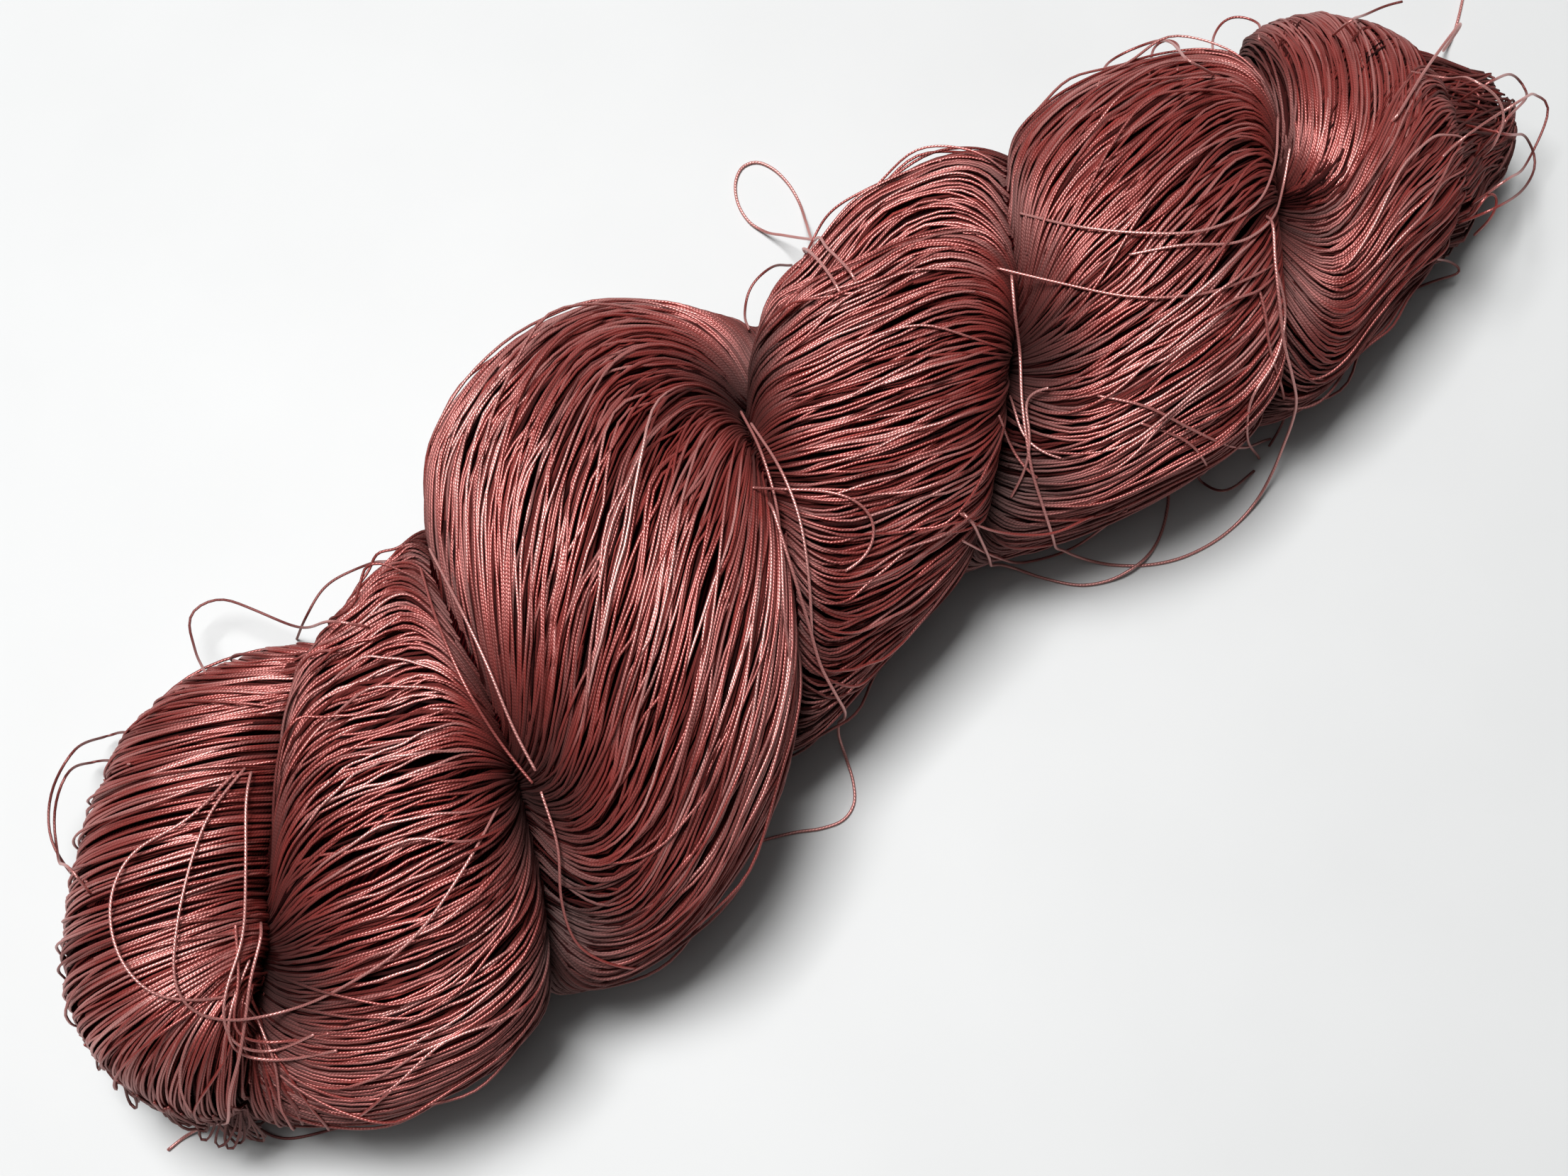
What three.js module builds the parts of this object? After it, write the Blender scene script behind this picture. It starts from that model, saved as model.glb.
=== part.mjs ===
// A hank of silk thread, twisted from two thick plies and laid flat. Lengths in mm, +Z up.
// +X runs along the hank from its blunt looped end to its narrow tuck of loops, +Y is its far side,
// and the origin lies under the middle of the hank on the surface that carries it.
import * as THREE from 'three';
import { mergeVertices } from 'three/addons/utils/BufferGeometryUtils.js';

// Driving sizes
const HANK_LENGTH = 254;
const MIDDLE_X = HANK_LENGTH / 2;
const MIDDLE_Y = -0.76; // half way between the far and the near side of the plies
const SIDE_SHARE = 0.82; // of the outline, left at a groove between two pinch points
const ROUNDNESS = 2.2; // 2 makes a lobe's profile an ellipse, more makes it fuller

// Ring and station counts of the solid
const POINTS_PER_PLY = 18;
const LONGEST_STEP = 2.7;
const SHORTEST_STEP = 0.45;
const MOST_TWIST = 11; // degrees that a groove may turn between two rings
const END_GROWTH = 0.3; // share of the distance to the nearer end that a step may be
const CROWDING = 0.09; // how far a ring's points are drawn towards the grooves

// The hank's crest lines: where the far and near sides, the top and the foot would lie with no grooves.
// A foot below 0 is pressed flat.
const OUTLINE = [
  { x: 0, far: -7, near: -12, top: 26, foot: 9 },
  { x: 2, far: 1, near: -20, top: 34, foot: 4 },
  { x: 8, far: 9.5, near: -28.5, top: 41, foot: 0 },
  { x: 14, far: 16, near: -33.5, top: 44, foot: -2 },
  { x: 20, far: 21, near: -37, top: 45, foot: -3 },
  { x: 27, far: 25, near: -40, top: 46, foot: -3 },
  { x: 36, far: 27, near: -42, top: 46.5, foot: -3 },
  { x: 48, far: 26, near: -43.5, top: 47, foot: -3 },
  { x: 60, far: 24.5, near: -44, top: 48, foot: -3 },
  { x: 70, far: 25.5, near: -43.5, top: 50, foot: -3 },
  { x: 77, far: 30, near: -42.5, top: 52.5, foot: -3 },
  { x: 84, far: 35.5, near: -40.5, top: 54, foot: -3 },
  { x: 94, far: 39.5, near: -37, top: 55.5, foot: -3 },
  { x: 104, far: 41.5, near: -33, top: 55, foot: -3 },
  { x: 112, far: 41, near: -29.5, top: 53, foot: -3 },
  { x: 123, far: 37, near: -26, top: 50, foot: -3 },
  { x: 134, far: 31, near: -24.5, top: 48, foot: -3 },
  { x: 145, far: 30, near: -25, top: 48, foot: -3 },
  { x: 157, far: 32, near: -27.5, top: 48.5, foot: -3 },
  { x: 168, far: 32, near: -29, top: 49, foot: -3 },
  { x: 180, far: 29.5, near: -31, top: 48.5, foot: -3 },
  { x: 191, far: 27.5, near: -31.5, top: 48, foot: -3 },
  { x: 200, far: 27, near: -30, top: 47, foot: -3 },
  { x: 209, far: 27, near: -27, top: 45, foot: -3 },
  { x: 217, far: 26, near: -25, top: 42.5, foot: -3 },
  { x: 226, far: 25, near: -24.5, top: 39, foot: -3 },
  { x: 234, far: 23.5, near: -24, top: 35, foot: -3 },
  { x: 242, far: 20, near: -22, top: 30, foot: -2 },
  { x: 248, far: 14, near: -18, top: 26, foot: 0 },
  { x: 252, far: 7, near: -13, top: 22, foot: 4 },
  { x: 254, far: 0, near: -7, top: 18, foot: 8 },
];

// The two grooves wind round the hank to the right. A turn of 0 is the top, 90 the far side, 180 underneath.
// The first groove has ply one on its left, the second has ply two there.
const FIRST_GROOVE = [
  { turn: -180, x: -12 },
  { turn: -90, x: 13 },
  { turn: -55, x: 19.6 },
  { turn: -35, x: 25 },
  { turn: 0, x: 33 },
  { turn: 43, x: 47 },
  { turn: 90, x: 60 },
  { turn: 180, x: 78 },
  { turn: 270, x: 103.5 },
  { turn: 300, x: 110 },
  { turn: 331, x: 116.5 },
  { turn: 387, x: 123 },
  { turn: 416, x: 129 },
  { turn: 450, x: 136 },
  { turn: 540, x: 156 },
  { turn: 630, x: 190 },
  { turn: 660, x: 196 },
  { turn: 715, x: 207.8 },
  { turn: 750, x: 215 },
  { turn: 775, x: 218 },
  { turn: 810, x: 221 },
  { turn: 900, x: 240 },
  { turn: 990, x: 262 },
];
const SECOND_GROOVE = [
  { turn: -360, x: -40 },
  { turn: -270, x: 2 },
  { turn: -180, x: 36 },
  { turn: -90, x: 57 },
  { turn: -43, x: 64.5 },
  { turn: -20, x: 67 },
  { turn: 18, x: 70.5 },
  { turn: 60, x: 74.5 },
  { turn: 90, x: 78.5 },
  { turn: 180, x: 110 },
  { turn: 270, x: 141 },
  { turn: 300, x: 148 },
  { turn: 333, x: 157 },
  { turn: 360, x: 163 },
  { turn: 399, x: 171 },
  { turn: 450, x: 183 },
  { turn: 540, x: 204 },
  { turn: 630, x: 229 },
  { turn: 720, x: 242 },
  { turn: 810, x: 249 },
  { turn: 900, x: 260 },
];

// Where the plies bind each other and draw the groove in, the share of the outline left there
// and the degrees round the hank over which the pinch is felt
const FIRST_PINCHES = [
  { turn: -210, share: 0.5, reach: 45 },
  { turn: -35, share: 0.42, reach: 45 },
  { turn: 150, share: 0.55, reach: 45 },
  { turn: 387, share: 0.4, reach: 45 },
  { turn: 560, share: 0.55, reach: 45 },
  { turn: 715, share: 0.42, reach: 45 },
  { turn: 900, share: 0.55, reach: 45 },
];
const SECOND_PINCHES = [
  { turn: -380, share: 0.5, reach: 45 },
  { turn: -200, share: 0.55, reach: 45 },
  { turn: -68, share: 0.56, reach: 18 },
  { turn: -26, share: 0.4, reach: 45 },
  { turn: 170, share: 0.55, reach: 45 },
  { turn: 292, share: 0.58, reach: 18 },
  { turn: 333, share: 0.4, reach: 45 },
  { turn: 530, share: 0.55, reach: 45 },
];

// Furrows where a ply splits into two bundles, each along a straight line over the unrolled hank
const FURROWS = [
  { ply: 'two', x: 141, turn: 414, toX: 171, toTurn: 382, depth: 0.12, width: 3.6 },
];
const UNROLLED = 0.46; // mm of the hank's girth to a degree

// The loose threads that show, each along points picked by hand over the hank, down to the surface and along it
const LOOSE_THREADS = {
  long_loose_thread: [
    [35.9, 5.2, 43.3], [33.2, 0.6, 42.4], [31.8, -3.2, 37.6], [28.2, -8.7, 36.6], [25.7, -13.3, 35.5],
    [23.9, -17.5, 33.3], [23.2, -21.8, 29], [23.5, -24.8, 22.5], [24.8, -25.2, 15.5], [27.2, -25, 9],
    [29.6, -25.9, 4], [32, -27.6, 1.3], [34.6, -29.8, 0.4], [38.6, -32.6, 0.4], [43.5, -34.7, 0.4],
    [49.3, -35.6, 0.4], [54.4, -35.3, 0.6], [58.8, -34.2, 2], [62.1, -32.6, 5], [64.3, -30.9, 10.5],
    [65.1, -29.8, 17], [64.6, -28.8, 24.5], [63.5, -26.6, 32], [63.3, -23.2, 37.6], [65, -18.9, 41.1],
    [67.6, -13.9, 43.3], [70.4, -9.5, 43.9],
  ],
  near_loose_thread: [
    [11.6, -19.3, 36.7], [12.7, -20.9, 30.5], [13.8, -22.3, 23.5], [15.2, -22, 16], [17.2, -21, 9.5],
    [19.4, -20.7, 4.5], [21.7, -21.9, 1.2], [24.2, -25, 0.4], [28.4, -29.4, 0.4], [32.5, -31.4, 0.7],
    [35.5, -32, 1.6], [38.5, -31.9, 1.6], [41.5, -31, 0.7], [44.3, -29.4, 0.4], [47.2, -26.9, 0.4],
    [49.7, -23.9, 0.4],
  ],
  middle_loose_thread: [
    [-11.6, -4.8, 46.2], [-13.2, -10.1, 45.2], [-14.6, -15, 42.9], [-15.8, -19.5, 39], [-17, -23.9, 35],
    [-16.9, -27.4, 30], [-16.3, -29, 24], [-16, -28.7, 17], [-16.1, -27.8, 10.5], [-16.4, -28.6, 4.5],
    [-16.9, -31.2, 1.2], [-18, -34.6, 0.4], [-19.8, -37.3, 0.4], [-22.4, -38.4, 0.4], [-25.7, -37.7, 0.4],
    [-29.4, -35.9, 0.4], [-33.3, -34.4, 0.4], [-36.3, -33.5, 0.4],
  ],
  far_loose_loop: [
    [14.2, 16.8, 45.7], [15.2, 21.1, 42.9], [16.5, 26.3, 37], [17.8, 29.9, 30.2], [19.5, 31.8, 23.5],
    [22.1, 33.9, 17], [24.6, 36.9, 11], [26.6, 40.6, 5.4], [28.5, 44.5, 1.5], [29.8, 48.2, 0.4],
    [30.2, 51.9, 0.4], [29.6, 55.6, 0.4], [28.1, 57.9, 0.4], [25.8, 58.4, 0.4], [23.4, 56.9, 0.4],
    [21.6, 53.7, 0.4], [21.2, 49.9, 0.4], [22.2, 46.5, 1.2], [23.4, 43.4, 4], [23.8, 40.1, 8.5],
    [23.4, 36.4, 15], [22.4, 33.5, 21], [21, 31.2, 27.5], [19.9, 28.6, 33.5], [18.4, 25, 38.6],
    [17.6, 21.2, 42.8], [17, 17.3, 45.6],
  ],
  left_thread_end: [
    [-98.8, -12.7, 37.9], [-102.8, -16.6, 37.5], [-106.2, -20.2, 35.9], [-109.9, -23.5, 33.1],
    [-113.6, -26, 30], [-116.6, -27.6, 23.5], [-118.4, -26.6, 16.5], [-120.4, -24.9, 10.5],
    [-122.7, -23.3, 5], [-125, -22.3, 1.5], [-127.3, -22, 0.4], [-129.8, -22.2, 0.4],
  ],
  right_thread_end: [
    [97.1, -5.6, 39.9], [102, -3.5, 37.9], [107.2, -1.2, 35.3], [113, 1.2, 31.2], [118.8, 3.4, 28.2],
    [123.8, 5.4, 23.6], [127, 6.7, 17.6], [128.2, 7.5, 11.5], [129.2, 8.3, 6], [131.9, 9.5, 2],
    [135.3, 11, 0.4], [138.1, 13, 0.4], [140.9, 15.3, 0.4], [143.1, 17.3, 0.4],
  ],
};
const THREAD_DIAMETER = 0.56;
const THREAD_SIDES = 8;
const THREAD_STEP = 1.65; // mm along a loose thread to a ring of its tube
const MOST_THREAD_STEPS = 80;

const SILK = { color: '#a04a52', roughness: 0.42, metalness: 0 };

// Smooth curve through a table's rows that never overshoots them
function smooth(rows, key, column, at) {
  const last = rows.length - 1;
  const place = Math.min(Math.max(at, rows[0][key]), rows[last][key]);
  let row = 0;
  while (row < last - 1 && rows[row + 1][key] <= place) row += 1;
  const slopeAfter = (i) => (rows[i + 1][column] - rows[i][column]) / (rows[i + 1][key] - rows[i][key]);
  const slopeAt = (i) => {
    if (i === 0) return slopeAfter(0);
    if (i === last) return slopeAfter(last - 1);
    const before = slopeAfter(i - 1);
    const after = slopeAfter(i);
    return before * after > 0 ? (2 * before * after) / (before + after) : 0;
  };
  const width = rows[row + 1][key] - rows[row][key];
  const t = (place - rows[row][key]) / width;
  return (1 + 2 * t) * (1 - t) ** 2 * rows[row][column]
    + t * (1 - t) ** 2 * width * slopeAt(row)
    + t * t * (3 - 2 * t) * rows[row + 1][column]
    + t * t * (t - 1) * width * slopeAt(row + 1);
}

// Turn at which a groove passes a given x, found by halving
function turnAt(groove, x) {
  let low = groove[0].turn;
  let high = groove[groove.length - 1].turn;
  for (let step = 0; step < 40; step += 1) {
    const middle = (low + high) / 2;
    if (smooth(groove, 'turn', 'x', middle) < x) low = middle;
    else high = middle;
  }
  return (low + high) / 2;
}

// Share of the outline left at a groove
function grooveShare(pinches, turn) {
  const drawn = pinches.map(({ turn: pinch, share, reach }) =>
    SIDE_SHARE - (SIDE_SHARE - share) * Math.exp(-(((turn - pinch) / reach) ** 2)));
  return Math.min(...drawn);
}

// Share of the outline that a ply's furrows take away at a place
function furrowShare(ply, x, turn) {
  const place = new THREE.Vector3(x, turn * UNROLLED, 0);
  const taken = FURROWS.filter((furrow) => furrow.ply === ply).map((furrow) => {
    const start = new THREE.Vector3(furrow.x, furrow.turn * UNROLLED, 0);
    const end = new THREE.Vector3(furrow.toX, furrow.toTurn * UNROLLED, 0);
    const nearest = new THREE.Line3(start, end).closestPointToPoint(place, true, new THREE.Vector3());
    return furrow.depth * Math.exp(-((place.distanceTo(nearest) / furrow.width) ** 2));
  });
  return taken.reduce((sum, share) => sum + share, 0);
}

// Share of the outline that a ply fills at a turn: an ellipse-like arch from its left groove to its right one
function lobeShare(ply, x, turn) {
  const [left, right] = ply === 'one'
    ? [{ groove: SECOND_GROOVE, pinches: SECOND_PINCHES, turn: turn - 360 },
      { groove: FIRST_GROOVE, pinches: FIRST_PINCHES, turn }]
    : [{ groove: FIRST_GROOVE, pinches: FIRST_PINCHES, turn },
      { groove: SECOND_GROOVE, pinches: SECOND_PINCHES, turn }];
  const leftX = smooth(left.groove, 'turn', 'x', left.turn);
  const rightX = smooth(right.groove, 'turn', 'x', right.turn);
  const across = Math.min(Math.max((x - leftX) / (rightX - leftX), 0), 1);
  const leftShare = grooveShare(left.pinches, left.turn);
  const rightShare = grooveShare(right.pinches, right.turn);
  const floor = leftShare + (rightShare - leftShare) * across;
  const arch = Math.sqrt(1 - Math.abs(2 * across - 1) ** ROUNDNESS);
  return floor + (1 - floor) * arch - furrowShare(ply, x, turn) * arch;
}

// Point of the hank's surface, pressed flat where it meets the surface below
function surfacePoint(x, turn, share) {
  const far = smooth(OUTLINE, 'x', 'far', x);
  const near = smooth(OUTLINE, 'x', 'near', x);
  const top = smooth(OUTLINE, 'x', 'top', x);
  const foot = smooth(OUTLINE, 'x', 'foot', x);
  const halfHeight = (top - foot) / 2;
  const angle = THREE.MathUtils.degToRad(turn);
  const y = (far + near) / 2 + ((far - near) / 2) * share * Math.sin(angle);
  const z = top - halfHeight + halfHeight * share * Math.cos(angle);
  return new THREE.Vector3(x - MIDDLE_X, y - MIDDLE_Y, Math.max(z, 0));
}

// One ring round the hank: ply one from the first groove to the second, then ply two back to the first
function ring(x) {
  const first = turnAt(FIRST_GROOVE, x);
  const second = turnAt(SECOND_GROOVE, x);
  const plies = [
    { ply: 'one', from: first, to: second + 360 },
    { ply: 'two', from: second, to: first },
  ];
  return plies.flatMap(({ ply, from, to }) => Array.from({ length: POINTS_PER_PLY }, (_, i) => {
    const part = i / POINTS_PER_PLY;
    const turn = from + (to - from) * (part - CROWDING * Math.sin(2 * Math.PI * part));
    return surfacePoint(x, turn, lobeShare(ply, x, turn));
  }));
}

// Places of the rings along the hank, closer where the grooves turn fast and towards both ends
function ringPlaces() {
  const places = [0];
  while (places[places.length - 1] < HANK_LENGTH) {
    const x = places[places.length - 1];
    const turned = Math.max(
      turnAt(FIRST_GROOVE, x + 1) - turnAt(FIRST_GROOVE, x),
      turnAt(SECOND_GROOVE, x + 1) - turnAt(SECOND_GROOVE, x),
    );
    const toEnd = Math.min(x, HANK_LENGTH - x);
    const step = Math.min(LONGEST_STEP, MOST_TWIST / turned, SHORTEST_STEP + END_GROWTH * toEnd);
    places.push(x + Math.max(step, SHORTEST_STEP));
  }
  places[places.length - 1] = HANK_LENGTH;
  return places;
}

// Closed skin through rings of equal counts, with a point in the middle of each end
function skinThrough(rings) {
  const count = rings[0].length;
  const middleOf = (points) => points
    .reduce((sum, point) => sum.add(point), new THREE.Vector3())
    .divideScalar(points.length);
  const points = [...rings.flat(), middleOf(rings[0]), middleOf(rings[rings.length - 1])];
  const startMiddle = points.length - 2;
  const endMiddle = points.length - 1;
  const lastRing = (rings.length - 1) * count;
  const faces = [];
  for (let i = 0; i < count; i += 1) {
    const next = (i + 1) % count;
    faces.push(startMiddle, i, next);
    faces.push(endMiddle, lastRing + next, lastRing + i);
    for (let row = 0; row < rings.length - 1; row += 1) {
      const here = row * count;
      const there = here + count;
      faces.push(here + i, there + i, here + next);
      faces.push(there + i, there + next, here + next);
    }
  }
  const geometry = new THREE.BufferGeometry();
  geometry.setAttribute('position', new THREE.Float32BufferAttribute(points.flatMap((point) => point.toArray()), 3));
  geometry.setIndex(faces);
  return geometry;
}

function silkMesh(name, geometry) {
  const mesh = new THREE.Mesh(geometry, new THREE.MeshStandardMaterial(SILK));
  mesh.name = name;
  return mesh;
}

function skein() {
  return silkMesh('skein', mergeVertices(skinThrough(ringPlaces().map(ring))));
}

// Round tube along a loose thread's route
function looseThread(name, route) {
  const path = new THREE.CatmullRomCurve3(route.map((point) => new THREE.Vector3(...point)));
  path.arcLengthDivisions = 20 * route.length;
  const section = new THREE.Shape().absarc(0, 0, THREAD_DIAMETER / 2, 0, 2 * Math.PI);
  const tube = new THREE.ExtrudeGeometry(section, {
    steps: Math.min(Math.round(path.getLength() / THREAD_STEP), MOST_THREAD_STEPS),
    curveSegments: THREAD_SIDES / 2, // an arc gets two sides to a segment
    extrudePath: path,
    bevelEnabled: false,
  });
  tube.deleteAttribute('normal');
  tube.deleteAttribute('uv');
  return silkMesh(name, mergeVertices(tube));
}

const hank = new THREE.Group();
hank.add(skein());
Object.entries(LOOSE_THREADS).forEach(([name, route]) => hank.add(looseThread(name, route)));

export default hank;
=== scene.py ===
"""A hank of plied silk thread, twisted on itself into a thick rope and laid flat on a pale table.

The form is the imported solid's own: two plies wind round each other between two grooves, and every turn of
thread is laid on it as a thin tube. Lengths are in millimetres until a mesh is made, with +X along the hank
from its blunt looped end to its narrow tuck, +Y to its far side and +Z up.
"""

import logging
from dataclasses import dataclass, field
from enum import Enum

import bpy
import numpy as np
from mathutils import Matrix, Vector

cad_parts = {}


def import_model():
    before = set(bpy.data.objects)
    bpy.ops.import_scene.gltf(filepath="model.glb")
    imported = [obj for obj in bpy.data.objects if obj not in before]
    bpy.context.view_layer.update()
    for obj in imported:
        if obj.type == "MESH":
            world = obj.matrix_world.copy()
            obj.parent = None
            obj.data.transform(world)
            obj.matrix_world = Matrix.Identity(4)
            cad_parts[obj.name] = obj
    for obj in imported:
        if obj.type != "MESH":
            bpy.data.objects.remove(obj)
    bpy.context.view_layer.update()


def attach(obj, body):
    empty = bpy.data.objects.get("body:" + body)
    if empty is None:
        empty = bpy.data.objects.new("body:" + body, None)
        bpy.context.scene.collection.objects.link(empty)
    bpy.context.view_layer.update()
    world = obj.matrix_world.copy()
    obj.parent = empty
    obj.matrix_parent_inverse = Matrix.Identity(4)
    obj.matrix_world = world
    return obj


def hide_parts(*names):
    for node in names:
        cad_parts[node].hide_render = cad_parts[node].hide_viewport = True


log = logging.getLogger("hank")

METRE = 0.001
BODY = "root"
SOLID = "skein"
THREAD_UV = "thread"
SHADE = "shade"

Array = np.ndarray
Table = tuple[tuple[float, ...], ...]


class Ply(Enum):
    """The two strands of the rope. Each has its own groove on its right and the other's on its left."""

    ONE = 1
    TWO = 2

    @property
    def left_groove(self) -> tuple["Ply", float]:
        """The ply whose groove is on the left, and how many degrees that groove's count lags behind."""
        return (Ply.TWO, 360.0) if self is Ply.ONE else (Ply.ONE, 0.0)


# The crest lines of the hank: x from its blunt end, far side, near side, top and foot
OUTLINE: Table = (
    (0, -7, -12, 26, 9), (2, 1, -20, 34, 4), (8, 9.5, -28.5, 41, 0), (14, 16, -33.5, 44, -2),
    (20, 21, -37, 45, -3), (27, 25, -40, 46, -3), (36, 27, -42, 46.5, -3), (48, 26, -43.5, 47, -3),
    (60, 23.2, -44, 48, -3), (70, 25, -43.5, 50, -3), (77, 31.2, -42.5, 52.5, -3), (84, 37, -40.5, 54, -3),
    (94, 40, -37, 55.5, -3), (104, 41.2, -33, 55, -3), (112, 40.7, -29.5, 53, -3), (123, 37, -26, 50, -3),
    (134, 31, -24.5, 48, -3), (145, 30, -25, 48, -3), (157, 32, -27.5, 48.5, -3), (168, 32, -29, 49, -3),
    (180, 30.5, -31, 48.5, -3), (191, 29.3, -31.5, 48, -3), (200, 27.8, -30, 47, -3),
    (209, 26, -27, 45, -3), (217, 24.4, -25, 42.5, -3), (226, 22.8, -24.5, 39, -3),
    (234, 20.3, -24, 35, -3), (242, 14.6, -22, 30, -2), (248, 5.5, -18, 26, 0), (252, 0, -13, 22, 4),
    (254, -3.5, -7, 18, 8),
)

# Turn round the hank against x, for the groove on the right of ply one and the one on the right of ply two
FIRST_GROOVE: Table = (
    (-180, -12), (-90, 13), (-55, 19.6), (-35, 25), (0, 33), (43, 47), (90, 60), (180, 78), (270, 103.5),
    (300, 110), (331, 116.5), (387, 123), (416, 129), (450, 136), (540, 156), (630, 190), (660, 196),
    (715, 207.8), (750, 215), (775, 218), (810, 221), (900, 240), (990, 262),
)
SECOND_GROOVE: Table = (
    (-360, -40), (-270, 2), (-180, 36), (-90, 57), (-43, 64.5), (-20, 67), (18, 70.5), (60, 73.6),
    (90, 76.4), (180, 110), (270, 141), (300, 148), (333, 157), (360, 163), (399, 171), (450, 183),
    (540, 204), (630, 229), (720, 241), (810, 245), (900, 250),
)

# Turn of each pinch in a groove, the share of the outline left there and the degrees over which it is felt
FIRST_PINCHES: Table = (
    (-210, 0.5, 45), (-35, 0.42, 45), (150, 0.55, 45), (387, 0.4, 45), (560, 0.55, 45), (703, 0.42, 45),
    (900, 0.55, 45),
)
SECOND_PINCHES: Table = (
    (-380, 0.5, 45), (-200, 0.55, 45), (-68, 0.56, 18), (-26, 0.4, 45), (170, 0.55, 45), (292, 0.58, 18),
    (333, 0.4, 45), (530, 0.55, 45),
)

# How the turns of a ply run: turn at mid lobe, slant in degrees, and how loosely the left and right ends gather
FLOW_ONE: Table = (
    (-180, 0, 0.5, 0.5), (0, 10, 0.6, 0.35), (180, 0, 0.5, 0.5), (360, 48, 0.25, 0.25), (540, 0, 0.5, 0.5),
    (720, 26, 0.25, 0.35), (900, 0, 0.5, 0.5),
)
FLOW_TWO: Table = (
    (-180, 0, 0.5, 0.5), (0, -5, 0.6, 0.35), (180, 0, 0.5, 0.5), (360, -15, 0.75, 0.35), (540, 0, 0.5, 0.5),
    (640, 10, 0.25, 1), (712, 62, 0.25, 1), (760, 62, 0.25, 1), (836, 0, 0.5, 1), (900, 0, 0.5, 1),
)

# The furrow where the fourth lobe splits into two bundles: x and turn of both ends, depth and width
FURROW = (141, 414, 171, 382, 0.12, 3.6)

# The fan of the blunt end: turn in the first groove against the place on the rim where that turn goes over
FAN: Table = (
    (-52, -106, -36), (-43, -113.6, -32.2), (-39, -120.5, -25.7), (-35, -125, -20), (-28, -127.5, -11),
    (-18, -127.5, -4.6), (-6, -126, 2), (9, -122.5, 9), (24, -117.5, 15.6), (38, -109.7, 23),
    (48, -104.2, 26.5), (59, -96, 28.5), (70, -88.8, 29), (80, -80, 28.5), (92, -71, 27.5), (105, -62, 27),
)


def smooth(table: Array, column: int, at: Array) -> Array:
    """Reads a table at any place, with cubic pieces whose slopes never overshoot its rows.

    Args:
        table: Rows in rising order of their first column.
        column: The column to read.
        at: Places in the first column's units, of any shape.

    Returns:
        The column's values there.
    """
    key, value = table[:, 0], table[:, column]
    at = np.clip(at, key[0], key[-1])
    chord = np.diff(value) / np.diff(key)
    both = chord[1:] * chord[:-1]
    slope = np.empty_like(value)
    slope[0], slope[-1] = chord[0], chord[-1]
    slope[1:-1] = np.where(both > 0, 2 * both / np.where(both > 0, chord[1:] + chord[:-1], 1), 0)
    row = np.clip(np.searchsorted(key, at, "right") - 1, 0, len(key) - 2)
    width = key[row + 1] - key[row]
    t = (at - key[row]) / width
    return (
        (1 + 2 * t) * (1 - t) ** 2 * value[row] + t * (1 - t) ** 2 * width * slope[row]
        + t * t * (3 - 2 * t) * value[row + 1] + t * t * (t - 1) * width * slope[row + 1]
    )


def bell(distance: Array, reach: Array | float) -> Array:
    """A bell-shaped fall from 1, by the square of a distance over its reach."""
    return np.exp(-((distance / reach) ** 2))


def value_noise(rng: np.random.Generator, across: Array, along: Array, rows: int, knots: int) -> Array:
    """Smooth noise from -1 to 1: random values on a grid of rows by knots, blended by a smooth step.

    Args:
        rng: The source of the random values.
        across: Place across the grid in rows, from 0.
        along: Place along it from 0 to 1, of a shape that goes with across.
        rows: How many rows the grid needs.
        knots: How many stretches the grid has along.

    Returns:
        The noise at each place.
    """
    grid = rng.uniform(-1, 1, (rows + 2, knots + 2))
    place = np.clip(across, 0, rows)
    station = np.clip(along, 0, 1) * knots
    i, j = np.floor(place).astype(int), np.floor(station).astype(int)
    s, t = place - i, station - j
    s, t = s * s * (3 - 2 * s), t * t * (3 - 2 * t)
    return (
        grid[i, j] * (1 - s) * (1 - t) + grid[i + 1, j] * s * (1 - t)
        + grid[i, j + 1] * (1 - s) * t + grid[i + 1, j + 1] * s * t
    )


def lengths_along(paths: Array) -> Array:
    """Distance along each path to each of its points.

    Args:
        paths: Points in an array of paths by points by three.

    Returns:
        An array of paths by points.
    """
    steps = np.linalg.norm(np.diff(paths, axis=1), axis=2)
    return np.concatenate([np.zeros((len(paths), 1)), np.cumsum(steps, axis=1)], axis=1)


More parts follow.
